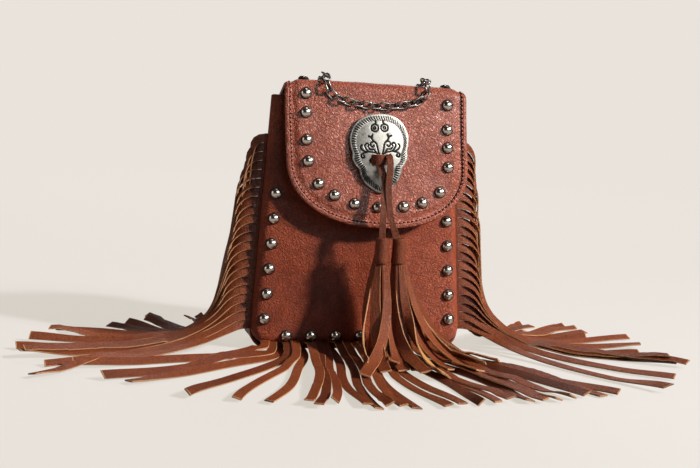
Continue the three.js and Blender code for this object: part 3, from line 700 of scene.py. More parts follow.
panel = panel_grid()
panel_shape = wall_under(panel, face_normal(panel), LEATHER)
panel_marks = {"rubbed": np.interp(panel_shape[0][:, 0], PANEL_LIGHT_AND_RUB["across"], PANEL_LIGHT_AND_RUB["rubbed"])}
add_piece(
    "front_panel_leather", panel_shape, body_leather, ["front_panel"], marks=panel_marks
)

# %% [markdown]
# The gusset is one long strip that runs down one side, along the base and up the other side. It is
# drawn as an outline of places with outward directions, carried from the front seam to the back.
# The sides sag inwards a little, as an empty bag's do. The back panel is a flat sheet with a
# groove beside its edge for the stitches. Both leave room for the heading of the fringe, the uncut
# band that is sewn into the front seam.

# %% Gusset and back panel
HEADING = {"depth": 4.0, "thickness": 1.4}
GUSSET_GRID = {"side": 44, "corner": 12, "base": 16, "depth": 18}
BACK_GRID = {"corner": 14, "rows": 80, "columns": 121, "crowding": 1.4}
BACK_GROOVE = {"inset": 4.0, "depth": 0.5, "half": 0.8}
BACK_DENTS = {"depth": 0.25, "seed": 5, "length": 60.0}


def gusset_outline():
    """Places and outward directions from the left top, round the base, to the right top."""
    side, base = GUSSET_GRID["side"], GUSSET_GRID["base"]
    z_side = np.linspace(BODY["height"], BODY["corner"], side)
    turn = np.linspace(0, np.pi / 2, GUSSET_GRID["corner"])[1:-1]
    foot = taper(BODY["corner"]) - BODY["corner"]
    x = np.r_[taper(z_side), foot + BODY["corner"] * np.cos(turn), np.linspace(foot, 0, base)]
    z = np.r_[z_side, BODY["corner"] * (1 - np.sin(turn)), np.zeros(base)]
    out_x = np.r_[np.ones(side), np.cos(turn), np.zeros(base)]
    out_z = np.r_[np.zeros(side), -np.sin(turn), -np.ones(base)]
    right = np.stack([x, z, out_x, out_z], -1)
    left = right[:-1] * (-1, 1, -1, 1)
    return np.r_[left, right[::-1]].T


def gusset_shape():
    """Outline carried from front to back, pulled in by a sine across its depth."""
    x, z, out_x, out_z = (row[:, None] for row in gusset_outline())
    share = np.linspace(0, 1, GUSSET_GRID["depth"])[None]
    front = seam(z) + HEADING["thickness"] + 2 * GAP
    back = back_face(z) - LEATHER - GAP
    sag = BODY["gusset_sag"] * np.sin(np.pi * share) * np.abs(out_x) * smooth(z, 10, BODY["height"])
    top = BODY["height"] + (BODY["back_height"] - BODY["height"]) * share
    inward = (sag + drawn_in(z) * share) * out_x
    y = front + (back - front) * share
    place = np.stack(np.broadcast_arrays(x - inward, y, np.minimum(z, top)), -1)
    normal = np.stack(np.broadcast_arrays(out_x, 0 * share, out_z), -1)
    return wall_under(place, unit(normal), LEATHER)


def back_grid():
    """Back panel: flat, with a pressed groove beside its edge for the stitches."""
    turn = np.linspace(0, np.pi / 2, BACK_GRID["corner"])
    bend = RIM + (BODY["corner"] - RIM) * (1 - np.cos(turn))
    flat = np.linspace(BODY["corner"], BODY["back_height"] - RIM, BACK_GRID["rows"])
    z = np.r_[bend, flat[1:]][:, None]
    share = np.linspace(-1, 1, BACK_GRID["columns"])[None]
    share = np.sign(share) * (1 - (1 - np.abs(share)) ** BACK_GRID["crowding"])
    half = cornered_half(z, 0) - drawn_in(z) - RIM
    x = share * half
    edge = np.minimum(half - np.abs(x), np.minimum(z, BODY["back_height"] - z)) + RIM
    across_groove = (edge - BACK_GROOVE["inset"]) / BACK_GROOVE["half"]
    groove = BACK_GROOVE["depth"] * np.exp(-(across_groove**2))
    dents = waves(x, z + 0 * x, BACK_DENTS["seed"], BACK_DENTS["length"]) * smooth(edge, 5, 20)
    y = back_face(z) - groove + BACK_DENTS["depth"] * dents
    return np.stack(np.broadcast_arrays(x, y, z), -1)


add_piece("gusset_leather", gusset_shape(), body_leather, ["gusset"])
back_sheet = back_grid()
back_shape = wall_under(back_sheet, np.broadcast_to((0.0, 1.0, 0.0), back_sheet.shape), LEATHER)
add_piece("back_panel_leather", back_shape, body_leather, ["back_panel"])

# %% [markdown]
# The flap starts on the back, bends over the mouth and falls down the front to a rounded end. Seen
# from the side it is a chain of straight runs and bends, so its profile is the running sum of a
# heading. Its rim is turned and stitched: a bead at the edge, a groove for the thread, and a
# slightly padded field inside. That relief depends only on the distance from the edge.
# Hands have polished the flap most at its upper front and round its end, and least on the fold, and
# its colour is painted paler in the same places, as painted sheen.

# %% Flap
FLAP = {
    "half": 61.5,
    "offset": 7.0,
    "back_edge": 139.5,
    "clockwise": np.radians(1.4),
    "curve": 44.0,
    "power": 2.3,
    "curl": 3.0,
    "droop": 3.0,
    "swing": 5.0,
    "back_run": 20.0,
    "top_run": 30.0,
    "front_run": 90.0,
}
FLAP_GRID = {"straight": 104, "end": 70, "end_turn": np.radians(88.6), "columns": 171, "crowding": 1.5}
FLAP_BEAD = {"height": 0.55, "inset": 1.3, "half": 1.5}
FLAP_GROOVE = {"depth": 0.55, "half": 0.6}
FLAP_FIELD = {"height": 1.05, "step": 0.5}
FLAP_DENTS = {"depth": 0.45, "seed": 11, "length": 34.0}
# Painted sheen: at these heights the flap's colour is painted paler, and its gloss follows the same
# mark.
FLAP_SHEEN_AND_RUB = {"height": (88, 125, 160, 182), "rubbed": (0.2, 0.05, 0.19, -0.02)}
OUTLINE_STEP = 0.8
STITCH = {"inset": 2.5, "pitch": 2.9, "length": 1.7, "radius": 0.55}
LEAN = np.arctan2(BODY["base_back"] - BODY["top_back"], BODY["height"])
TOP_HEADING = np.radians(66)
FALL_HEADING = np.radians(171)
BENDS = {"back": 10.0, "front": 6.0}
BACK_BEND = BENDS["back"] * (TOP_HEADING - LEAN)
FRONT_BEND = BENDS["front"] * (FALL_HEADING - TOP_HEADING)
FLAP_RUNS = [FLAP["back_run"], BACK_BEND, FLAP["top_run"], FRONT_BEND, FLAP["front_run"]]
FLAP_STOPS = np.r_[0, np.cumsum(FLAP_RUNS)]
FLAP_HEADINGS = [LEAN, LEAN, TOP_HEADING, TOP_HEADING, FALL_HEADING, FALL_HEADING]
FLAP_LENGTH = FLAP_STOPS[-1]
CURVE_RUN = FLAP_LENGTH - FLAP["curve"]
CREST_RUN = FLAP_STOPS[3] + BENDS["front"] * (np.pi / 2 - TOP_HEADING)


def running_sum(values, step):
    """Integral of evenly spaced values by trapezoids, from 0."""
    return np.r_[0, np.cumsum((values[1:] + values[:-1]) / 2) * step]


profile_runs = np.linspace(-2, FLAP_LENGTH + 2, 6001)
profile_headings = np.interp(profile_runs, FLAP_STOPS, FLAP_HEADINGS)
profile_step = profile_runs[1] - profile_runs[0]
profile_y = -running_sum(np.sin(profile_headings), profile_step)
profile_z = running_sum(np.cos(profile_headings), profile_step)
profile_y += back_face(FLAP["back_edge"]) + GAP + LEATHER - np.interp(0, profile_runs, profile_y)
profile_z += FLAP["back_edge"] - np.interp(0, profile_runs, profile_z)
CREST_HEIGHT = np.interp(CREST_RUN, profile_runs, profile_z)


def flap_sheet(across, run):
    """The plain sheet: the profile swept across, swung to one side and turned a little clockwise."""
    fall = smooth(run, CREST_RUN, FLAP_LENGTH)
    x = across + FLAP["swing"] * fall
    droop = FLAP["droop"] * (across / FLAP["half"]) ** 12 * (1 - fall)
    rise = np.interp(run, profile_runs, profile_z) - CREST_HEIGHT - droop
    y = np.interp(run, profile_runs, profile_y) + FLAP["curl"] * fall * (across / FLAP["half"]) ** 2
    cos, sin = np.cos(FLAP["clockwise"]), np.sin(FLAP["clockwise"])
    turned_x = FLAP["offset"] + x * cos + rise * sin
    return np.stack([turned_x, y, CREST_HEIGHT + rise * cos - x * sin], -1)


def flap_normal(across, run):
    """Outward normal of the flap from two short steps."""
    step = 0.05
    sideways = flap_sheet(across + step, run) - flap_sheet(across - step, run)
    onward = flap_sheet(across, run + step) - flap_sheet(across, run - step)
    return unit(np.cross(onward, sideways))


def flap_half(run):
    """Half of the flap's width: straight sides, then a rounded end (a superellipse)."""
    along = np.clip((run - CURVE_RUN) / FLAP["curve"], 0, 1)
    return FLAP["half"] * (1 - along ** FLAP["power"]) ** (1 / FLAP["power"])


def flap_outline():
    """The flap's edge in the flat, as (across, run), from the back left round to the back right."""
    turn = np.linspace(0, np.pi / 2, 400)
    x = FLAP["half"] * np.cos(turn) ** (2 / FLAP["power"])
    run = CURVE_RUN + FLAP["curve"] * np.sin(turn) ** (2 / FLAP["power"])
    right = np.r_[np.c_[np.full(2, FLAP["half"]), (0, CURVE_RUN)], np.c_[x, run][1:]]
    left = right * (-1, 1)
    path = np.r_[left, right[-2::-1]]
    length = np.r_[0, np.cumsum(np.linalg.norm(np.diff(path, axis=0), axis=1))]
    even = np.arange(0, length[-1], OUTLINE_STEP)
    return np.c_[np.interp(even, length, path[:, 0]), np.interp(even, length, path[:, 1])]


OUTLINE = flap_outline().astype(np.float32)


def edge_distance(across, run):
    """Distance from the edge in the flat, and how far along the edge its nearest place lies."""
    flat = np.stack([np.ravel(across), np.ravel(run)], -1).astype(np.float32)
    blocks = np.array_split(flat, max(1, len(flat) // 4000))
    nearest = [np.hypot(*(block[:, None] - OUTLINE).transpose(2, 0, 1)) for block in blocks]
    place = np.concatenate([block.argmin(1) for block in nearest])
    distance = np.concatenate([block.min(1) for block in nearest])
    distance = np.minimum(distance, flat[:, 1])
    along = OUTLINE_STEP * place
    return distance.reshape(np.shape(across)), along.reshape(np.shape(across))


def flap_relief(across, run):
    """Bead at the edge, groove for the thread, padded field: a height over the plain sheet."""
    edge, along = edge_distance(across, run)
    across_bead = (edge - FLAP_BEAD["inset"]) / FLAP_BEAD["half"]
    bead = FLAP_BEAD["height"] * np.sqrt(np.clip(1 - across_bead**2, 0, 1))
    pull = 0.75 + 0.25 * np.cos(2 * np.pi * along / STITCH["pitch"])
    across_groove = (edge - STITCH["inset"]) / FLAP_GROOVE["half"]
    groove = FLAP_GROOVE["depth"] * np.exp(-(across_groove**2)) * pull
    field = FLAP_FIELD["height"] * smooth(edge, 4.0, 8.5) - FLAP_FIELD["step"] * smooth(edge, 2.4, 3.6)
    dents = waves(across, run, FLAP_DENTS["seed"], FLAP_DENTS["length"]) * smooth(edge, 5, 14)
    return bead - groove + field + FLAP_DENTS["depth"] * dents


def flap_point(across, run):
    """The flap's outer face, relief included."""
    return flap_sheet(across, run) + flap_normal(across, run) * flap_relief(across, run)[..., None]


def flap_grid():
    """Rows along the flap, closer at its bends and its end, and columns closer at its sides."""
    straight = np.linspace(0, CURVE_RUN, FLAP_GRID["straight"])
    turn = np.linspace(0, FLAP_GRID["end_turn"], FLAP_GRID["end"])
    end = CURVE_RUN + FLAP["curve"] * np.sin(turn)
    run = np.r_[straight, end[1:]][:, None]
    share = np.linspace(-1, 1, FLAP_GRID["columns"])[None]
    share = np.sign(share) * (1 - (1 - np.abs(share)) ** FLAP_GRID["crowding"])
    across = share * flap_half(run)
    run = np.broadcast_to(run, across.shape)
    return flap_point(across, run), flap_normal(across, run)


flap_face, flap_facing = flap_grid()
flap_wall = wall_under(flap_face, flap_facing, LEATHER)
flap_marks = {"rubbed": np.interp(flap_wall[0][:, 2], FLAP_SHEEN_AND_RUB["height"], FLAP_SHEEN_AND_RUB["rubbed"])}
add_piece("flap_leather", flap_wall, polished_leather, ["flap"], marks=flap_marks)
print("flap is", round(FLAP_LENGTH, 1), "mm long in the flat")

# %% [markdown]
# Stitches are short arched pieces of thread, each with a few dozen faces. One function makes a row
# of them from their ends and the direction off the leather, so the flap, the back panel and the
# hem of the front panel can share it. On the flap a second row of dark pieces fills the gaps
# between the stitches: painted shade where the awl's holes show dark.

# %% Stitches
STITCH_ARCH = np.array([-0.5, 0.3, 0.45, 0.3, -0.5])
STITCH_PLACE = np.array([0.0, 0.14, 0.5, 0.86, 1.0])
THREAD_SIDES = 6
FLAP_SEAM = {"ends": 6.0, "middle": np.array([0, 60])}
BACK_SEAM = {"inset": 4.0, "sunk": 0.35, "side_from": 14.0, "top": 6.0, "base_half": 50.0, "spare": 0.6}
HEM_SEAM = {"inset": 4.0, "proud": 0.05, "half": 57.0, "spare": 0.4}


def stitch_row(start, end, normal):
    """Round thread of five sections a stitch: in at one hole, over in an arch, in at the next."""
    turn = np.linspace(0, 2 * np.pi, THREAD_SIDES, endpoint=False)
    sideways = unit(np.cross(end - start, normal))[:, None, None]
    spine = start[:, None] + (end - start)[:, None] * STITCH_PLACE[:, None]
    spine = spine + normal[:, None] * (STITCH["radius"] * STITCH_ARCH)[:, None]
    ring = sideways * np.cos(turn)[:, None] + normal[:, None, None] * np.sin(turn)[:, None]
    points = spine[:, :, None] + STITCH["radius"] * ring
    return points.reshape(-1, 3), tube_faces(len(start), len(STITCH_PLACE), len(turn))


def flap_stitches():
    """Stitches along a line inside the flap's edge, and dark pieces between them as painted hole shade.
    """
    heading = unit(np.gradient(OUTLINE.astype(float), axis=0))
    inward = np.c_[-heading[:, 1], heading[:, 0]]
    inward *= np.sign((inward * (FLAP_SEAM["middle"] - OUTLINE)).sum(1, keepdims=True))
    line = OUTLINE + inward * STITCH["inset"]
    length = np.r_[0, np.cumsum(np.linalg.norm(np.diff(line, axis=0), axis=1))]
    at = np.arange(FLAP_SEAM["ends"], length[-1] - FLAP_SEAM["ends"], STITCH["pitch"])
    gap = STITCH["pitch"] - STITCH["length"]
    rows = []
    for middle, span in ((at, STITCH["length"]), (at + STITCH["pitch"] / 2, gap)):
        x0, x1 = (np.interp(middle + shift * span, length, line[:, 0]) for shift in (-0.5, 0.5))
        run0, run1 = (np.interp(middle + shift * span, length, line[:, 1]) for shift in (-0.5, 0.5))
        normal = flap_normal((x0 + x1) / 2, (run0 + run1) / 2)
        rows.append(stitch_row(flap_point(x0, run0), flap_point(x1, run1), normal))
    return joined(rows), {"hole": np.repeat((0.0, 1.0), len(rows[0][0]))}


def back_stitches():
    """Stitches up both sides and along the base of the back panel."""
    pitch = STITCH["pitch"] + BACK_SEAM["spare"]
    z = np.arange(BACK_SEAM["side_from"], BODY["back_height"] - BACK_SEAM["top"], pitch)
    x = np.arange(-BACK_SEAM["base_half"], BACK_SEAM["base_half"] + 0.1, pitch)
    low = np.full_like(x, BACK_SEAM["inset"])
    half = taper(z) - drawn_in(z) - BACK_SEAM["inset"]
    side = [np.stack([s * half, back_face(z) - BACK_SEAM["sunk"], z], -1) for s in (-1, 1)]
    base = np.stack([x, back_face(low) - BACK_SEAM["sunk"], low], -1)
    start = np.concatenate([*side, base])
    up = np.tile((0, 0, STITCH["length"]), (2 * len(z), 1))
    along = np.tile((STITCH["length"], 0, 0), (len(x), 1))
    return stitch_row(start, start + np.r_[up, along], np.tile((0.0, 1.0, 0.0), (len(start), 1)))


def hem_stitches():
    """Stitches along the hem at the top of the front panel."""
    x = np.arange(-HEM_SEAM["half"], HEM_SEAM["half"] + 0.1, STITCH["pitch"] + HEM_SEAM["spare"])
    z = np.full_like(x, BODY["height"] - HEM_SEAM["inset"])
    start = panel_point(x, z) - (0, HEM_SEAM["proud"], 0)
    end = panel_point(x + STITCH["length"], z) - (0, HEM_SEAM["proud"], 0)
    return stitch_row(start, end, np.tile((0.0, -1.0, 0.0), (len(x), 1)))


shape, marks = flap_stitches()
add_piece("flap_stitches", shape, thread, marks=marks)
add_piece("back_stitches", back_stitches(), thread)
add_piece("hem_stitches", hem_stitches(), thread)

# %% [markdown]
# The studs are pressed domes with a narrow flange. One dome is a turned profile, and copies of it
# are placed by a frame at each seat: the leather's normal and two directions across it. The flange
# and the foot of the dome carry a mark that darkens them: patina, and painted shade round the foot
# of the stud.

# %% Studs
STUD_PROFILE = [(4.05, -0.4), (4.05, 0.25), (3.85, 0.45), (3.6, 0.5)]
STUD_DOME = {"radius": 3.6, "rise": 2.7, "foot": 0.5}
STUD_STEPS = 28
# Each flap stud's place: across the flap, and down from its crest, in millimetres.
FLAP_STUDS = [
    (-49, -3),
    (-48.5, 8.5),
    (-48.5, 21),
    (-48.5, 39),
    (-48, 53),
    (-41.5, 67.5),
    (-31, 74.5),
    (-17.5, 79.5),
    (-1.5, 81),
    (16, 80),
    (29, 77),
    (41.5, 69.5),
    (48, 52.5),
    (48, 39.5),
    (48, 27.5),
    (48.5, 11),
    (49, -3),
]
PANEL_SIDE = {"count": 6, "inset": 8.0, "lowest": 22.0, "pitch": 16.9}
PANEL_BASE = {"count": 7, "middle": 2.0, "height": 10.5, "pitch": 17.0}
SEAT_STEP = 0.6


def stud_profile():
    """Flange rows, then a quarter ellipse up to a small flat top."""
    turn = np.radians(np.linspace(0, 88, 10))
    radius = STUD_DOME["radius"] * np.cos(turn)
    height = STUD_DOME["foot"] + STUD_DOME["rise"] * np.sin(turn)
    return np.r_[np.array(STUD_PROFILE), np.c_[radius, height][1:]]


def frames_from(normal):
    """Two unit directions across each normal."""
    sideways = unit(np.cross(normal, (0.0, 0.0, 1.0)) + (1e-6, 0, 0))
    return sideways, np.cross(normal, sideways)


def studs_at(seat, normal):
    """Copies of the dome: seat + x sideways + y across + z along the normal, and their marks."""
    profile = stud_profile()
    dome = turned_profile(profile, STUD_STEPS)
    sideways, across = frames_from(normal)
    axes = np.stack([sideways, across, normal], 1)
    points = seat[:, None, None] + np.einsum("rsk,nkc->nrsc", dome, axes)
    # The flange and the foot of the dome are marked dark: patina, and painted shade round the stud's
    # foot.
    foot = 1 - smooth(profile[:, 1], 0.45, 1.25)
    hollow = np.broadcast_to(foot[None, :, None], points.shape[:3])
    return (points.reshape(-1, 3), tube_faces(len(seat), len(profile), STUD_STEPS)), {"hollow": hollow}


def run_at_drop(down):
    """Run at a distance below the crest, or back along the top when it is negative."""
    fall = profile_runs > CREST_RUN
    below = np.interp(down, CREST_HEIGHT - profile_z[fall], profile_runs[fall])
    return np.where(np.asarray(down) <= 0, CREST_RUN + np.asarray(down), below)


def panel_seats():
    """Stud places up both sides and along the base of the front panel."""
    z = PANEL_SIDE["lowest"] + PANEL_SIDE["pitch"] * np.arange(PANEL_SIDE["count"])
    order = np.arange(PANEL_BASE["count"]) - (PANEL_BASE["count"] - 1) / 2
    x = PANEL_BASE["middle"] + PANEL_BASE["pitch"] * order
    side = taper(z) - PANEL_SIDE["inset"]
    return np.r_[-side, side, x], np.r_[z, z, np.full(len(x), PANEL_BASE["height"])]


def panel_normal(x, z):
    """Outward normal of the front panel from two short steps."""
    sideways = panel_point(x + SEAT_STEP, z) - panel_point(x - SEAT_STEP, z)
    rising = panel_point(x, z + SEAT_STEP) - panel_point(x, z - SEAT_STEP)
    return unit(np.cross(sideways, rising))


def numbered(stem, count):
    """Node names with two-digit numbers."""
    return [f"{stem}_{order:02d}" for order in range(1, count + 1)]


stud_across, stud_down = np.array(FLAP_STUDS, float).T
stud_run = run_at_drop(stud_down)
shape, marks = studs_at(flap_point(stud_across, stud_run), flap_normal(stud_across, stud_run))
nodes = numbered("flap_stud", len(stud_run))
add_piece("flap_studs", shape, stud_metal, nodes, 50, marks)
seat_x, seat_z = panel_seats()
shape, marks = studs_at(panel_point(seat_x, seat_z), panel_normal(seat_x, seat_z))
nodes = numbered("panel_stud", len(seat_x))
add_piece("panel_studs", shape, stud_metal, nodes, 50, marks)

# %% [markdown]
# A strip of fringe is a flat ribbon that starts in the seam, turns over a shoulder, hangs and then
# runs out along the floor. Its direction is two angles, a pitch below level and a bearing in plan,
# and its path is their running sum, so a whole fringe is worked out at once as an array of strips
# by sections. A height map of the floor then stacks the strips: each one is laid over those that
# are already there. Cloth simulation could do the same, but this is quick and the same each run.
# The section of a strip has ten corners, so that its two cut edges are faces of their own and can
# be marked as raw leather, as the cut tip is.

# %% Strip helpers
STRIP_LENGTH = 162.0
SECTIONS = 54
SECTION_ACROSS = np.array([-0.93, 0, 0.93, 1, 1, 0.93, 0, -0.93, -1, -1])
SECTION_THROUGH = np.array([1, 1, 1, 0.6, -0.6, -1, -1, -1, -0.6, 0.6])
SECTION_CUT = np.array([0, 0, 0, 1, 1, 0.5, 0.5, 0.5, 1, 1])
ACROSS_STRIP = np.linspace(-0.5, 0.5, 7)
TIP_CROWDING = 0.7
FLOOR_CELL = 1.2
FLOOR_CELLS = (410, 300)
FLOOR_SLOPE = 0.16
FLOOR_LOW = np.array([-240.0, -200.0])
LOW_PART = 6.0
floor_height = np.full(FLOOR_CELLS, GAP)


def walk(root, pitch, bearing, step):
    """Centre lines: the running sum of (cos p cos b, cos p sin b, -sin p) from each root."""
    level = np.cos(pitch)
    ahead = np.stack([level * np.cos(bearing), level * np.sin(bearing), -np.sin(pitch)], -1)
    middle = (ahead[:, 1:] + ahead[:, :-1]) / 2 * np.asarray(step)[..., None, None]
    path = np.concatenate([np.zeros_like(ahead[:, :1]), np.cumsum(middle, 1)], 1)
    return root[:, None] + path


def strip_frames(centre, pitch, bearing, twist):
    """Directions across and off each strip, turned by its twist and squared to its path."""
    flat = np.stack([-np.sin(bearing), np.cos(bearing), 0 * bearing], -1)
    steep = np.sin(pitch)
    up = np.stack([steep * np.cos(bearing), steep * np.sin(bearing), np.cos(pitch)], -1)
    sideways = np.cos(twist)[..., None] * flat + np.sin(twist)[..., None] * up
    ahead = unit(np.gradient(centre, axis=1))
    sideways = unit(sideways - (sideways * ahead).sum(-1, keepdims=True) * ahead)
    return sideways, np.cross(ahead, sideways)


def floor_cells(centre, sideways, width):
    """Cells of the height map under one strip, at seven places across it."""
    place = centre[:, None, :2] + (ACROSS_STRIP * width)[None, :, None] * sideways[:, None, :2]
    cell = np.rint((place - FLOOR_LOW) / FLOOR_CELL).astype(int)
    return tuple(np.clip(cell, 0, np.array(floor_height.shape) - 1).transpose(2, 0, 1))


def lay_on_floor(centre, sideways, width, thickness):
    """Lifts each strip over what lies below it, then adds its low part to the height map."""
    for line, side in zip(centre, sideways):
        rise = ACROSS_STRIP * width * side[:, 2:]
        under = (floor_height[floor_cells(line, side, width)] - rise).max(1) + thickness / 2
        spread = np.r_[0, np.cumsum(np.linalg.norm(np.diff(line, axis=0), axis=1))]
        carried = (under[None] - FLOOR_SLOPE * np.abs(spread[:, None] - spread)).max(1)
        line[:, 2] = np.maximum(line[:, 2], carried)
        fine = np.linspace(0, len(line) - 1, 4 * len(line))
        index = np.arange(len(line))
        both = np.c_[line, side]
        dense = np.stack([np.interp(fine, index, column) for column in both.T], -1)
        dense = dense[dense[:, 2] < LOW_PART]
        top = dense[:, 2:3] + ACROSS_STRIP * width * dense[:, 5:6] + thickness / 2
        np.maximum.at(floor_height, floor_cells(dense[:, :3], dense[:, 3:], width), top)
    return centre


def ribbons(centre, sideways, face, width, thickness, cup, slant):
    """Strips with slightly rounded edges: centre + across sideways + through face, cupped.

    The last section is cut at a slant, and the one before it is drawn close, for a crisp tip.
    """
    count, sections = centre.shape[:2]
    across = np.asarray(width)[..., None] * SECTION_ACROSS / 2
    dish = np.reshape(cup, (-1, 1, 1)) * (SECTION_ACROSS**2 - 0.4)
    through = SECTION_THROUGH * thickness / 2 + dish
    points = centre[:, :, None] + sideways[:, :, None] * across[..., None]
    points = points + face[:, :, None] * through[..., None]
    ahead = unit(np.gradient(centre, axis=1))[:, -1]
    cut = (np.reshape(slant, (-1, 1)) * SECTION_ACROSS)[..., None] * ahead[:, None]
    points[:, -1] += cut
    points[:, -2] += TIP_CROWDING * (points[:, -1] - points[:, -2])
    return points.reshape(-1, 3), tube_faces(count, sections, len(SECTION_ACROSS))


def strip_marks(count, sections, draw):
    """The marks of a set of strips: cut past the seam and raw at the tip, and a tone for each."""
    past_seam = smooth(np.arange(sections), 0, 1.4)[None, :, None]
    cut = np.repeat(SECTION_CUT * past_seam, count, 0)
    cut[:, -1] = 1.0
    tone = np.broadcast_to(draw.uniform(0, 1, (count, 1, 1)), cut.shape)
    return {"cut": cut, "tone": tone}


def heading_band(rows):
    """The uncut band that strips hang from: a narrow wall through rows of (inner, outer) places."""
    sheet = np.asarray(rows, float)
    facing = np.broadcast_to((0.0, -1.0, 0.0), sheet.shape)
    return wall_under(sheet, facing, HEADING["thickness"])


def with_heading(strips, marks, heading):
    """Strips and their heading as one shape, the heading marked as plain face."""
    plain = np.zeros(len(heading[0]))
    marks = {label: np.r_[mark.ravel(), plain] for label, mark in marks.items()}
    return joined([strips, heading]), marks


# %% [markdown]
# The base fringe lies flat from the start. Each strip bends from the seam to the floor in a few
# millimetres and fans out, and its bearing is aimed at the place on the floor where its tip lies.
# Aiming takes a few rounds, because the strip leaves the seam square and turns on the way.

# %% Base fringe
BASE_STRIP = {"width": 5.9, "thickness": 1.0, "pitch": 5.07, "root": 6.6, "bend": 4.5, "turn": 60.0}
BASE_SLACK = 7.0
BASE_SWAY = {"turn": 0.15, "length": 30.0}
BASE_CURL = 2.5
AIMING_ROUNDS = 6
# The place on the floor where each strip's tip lies, as X and Y in millimetres.
BASE_TIPS = [
    (-200, -76),
    (-178, -106),
    (-161, -115),
    (-126, -146),
    (-98, -154),
    (-80, -159),
    (-58, -164),
    (-53, -169),
    (-42, -160),
    (-25, -170),
    (-19, -174),
    (-13, -174),
    (-5, -174),
    (3, -174),
    (22, -173),
    (31, -171),
    (43, -168),
    (54, -166),
    (63, -162),
    (74, -165),
    (84, -164),
    (93, -162),
    (104, -158),
    (115, -153),
    (126, -153),
    (138, -150),
]


def base_fringe(seed):
    """Strips along the base seam, aimed at their tips, laid on the floor in a shuffled order."""
    draw = np.random.default_rng(seed)
    tips = np.array(BASE_TIPS, float)
    count = len(tips)
    x = (np.arange(count) - (count - 1) / 2) * BASE_STRIP["pitch"]
    front = seam(BODY["front_rim"]) + GAP + HEADING["thickness"] / 2
    root = np.stack([x, np.full(count, front), np.full(count, BASE_STRIP["root"])], -1)
    length = (np.linalg.norm(tips - root[:, :2], axis=1) + BASE_SLACK)[:, None]
    s = np.linspace(0, 1, SECTIONS)[None] * length
    drop = BASE_STRIP["root"] - BASE_STRIP["bend"] - 0.9
    bend = np.clip((s - drop) / (BASE_STRIP["bend"] * np.pi / 2), 0, 1)
    pitch = np.pi / 2 * (1 - bend)
    phase = draw.uniform(0, 6.3, (count, 1))
    sway = BASE_SWAY["turn"] * np.sin(s / BASE_SWAY["length"] + phase) * smooth(s, 30, 90)
    aim = np.arctan2(tips[:, 0] - x, front - tips[:, 1])
    wanted = aim.copy()
    for _ in range(AIMING_ROUNDS):
        bearing = -np.pi / 2 + aim[:, None] * smooth(s, 4, BASE_STRIP["turn"]) + sway
        centre = walk(root, pitch, bearing, length[:, 0] / (SECTIONS - 1))
        end = centre[:, -1]
        aim += wanted - np.arctan2(end[:, 0] - x, front - end[:, 1])
    lean = np.sin(aim)[:, None] * draw.uniform(0.4, 0.9, (count, 1))
    lean = (lean + draw.normal(0, 0.1, (count, 1))) * smooth(s, 10, 70)
    tilt = lean + draw.normal(0, 0.4, (count, 1)) * smooth(s, length - 35, length)
    curl = draw.uniform(0, BASE_CURL, count)[:, None] * smooth(s, 0.7 * length, length)
    sideways, _ = strip_frames(centre, pitch, bearing, tilt)
    order = draw.permutation(count)
    width, thickness = BASE_STRIP["width"], BASE_STRIP["thickness"]
    centre[order] = lay_on_floor(centre[order], sideways[order], width, thickness)
    centre[..., 2] += curl
    sideways, face = strip_frames(centre, pitch, bearing, tilt)
    cup, slant = draw.normal(0, 0.12, count), draw.normal(0, 0.8, count)
    shape = ribbons(centre, sideways, face, width, thickness, cup, slant)
    half = count * BASE_STRIP["pitch"] / 2
    depth = seam(BODY["front_rim"]) + GAP
    levels = (BASE_STRIP["root"] - GAP, BASE_STRIP["root"] + HEADING["depth"])
    heading = heading_band([[(-half, depth, z), (half, depth, z)] for z in levels])
    return with_heading(shape, strip_marks(count, SECTIONS, draw), heading)


shape, marks = base_fringe(seed=7)
add_piece("fringe_base_strips", shape, strip_leather, ["fringe_base"], 35, marks)

# %% [markdown]
# The side fringes are curtains. At the seam each strip faces forward, one above the other, and it
# rolls over as it goes across the shoulder, though never quite flat, so the curtain looks like
# louvres. The upper strips swing towards the back and the lower ones towards the front, in locks
# that keep together, and on the floor each strip leans over the one behind it. A strip's whole way
# is drawn from its run: a level lead, an arc over the shoulder, a straight fall, a flare that eases
# out, and the rest on the floor. The steepest fall that leaves room for both bends is searched for.

# %% Side fringes
SIDE_STRIP = {"width": 5.85, "thickness": 0.9, "lowest": 14.0, "highest": 145.4, "lead": 4.0}
SIDE_FALL = {"turn": 30.0, "early": 0.5, "landing": 40.0, "ease": 1.8}
SIDE_TWIST = {
    "shoulder": np.radians(30),
    "hang": np.radians(14),
    "lean": np.radians(25),
    "from": 2.5,
    "rolled": 30.0,
    "hung": 62.0,
}
SIDE_CHANCE = {
    "swing": 3.5,
    "shoulder_drift": 1.4,
    "shoulder": 0.8,
    "length": 7.0,
    "drawn": np.radians(5),
    "lean": np.radians(11),
    "loose": np.radians(5),
    "flick": 0.4,
    "lift": 5.0,
    "cup": 0.1,
    "slant": 0.9,
}
SIDE_SWAY = {"turn": 0.14, "length": 26.0}
SIDE_REST = 2.0
# Each lock is a count of strips and the bearings of its first and last, in degrees from straight
# out towards the back. Shoulder, flare and steepest are given for the top, upper and lowest strips.
CURTAINS = {
    "left": {
        "side": -1,
        "locks": [(6, 90, 70), (9, 62, 14), (7, 6, -34)],
        "shoulder": (6.5, 15.0, 23.0),
        "flare": (35.0, 75.0, 95.0),
        "steepest": (88, 75, 64),
        "lift": 7.0,
        "seed": 21,
    },
    "right": {
        "side": 1,
        "locks": [(6, 52, 42), (10, 44, 0), (4, -14, -24), (2, -46, -56)],
        "shoulder": (12.0, 15.0, 18.0),
        "flare": (35.0, 85.0, 95.0),
        "steepest": (90, 85, 46),
        "lift": 1.0,
        "seed": 22,
    },
}


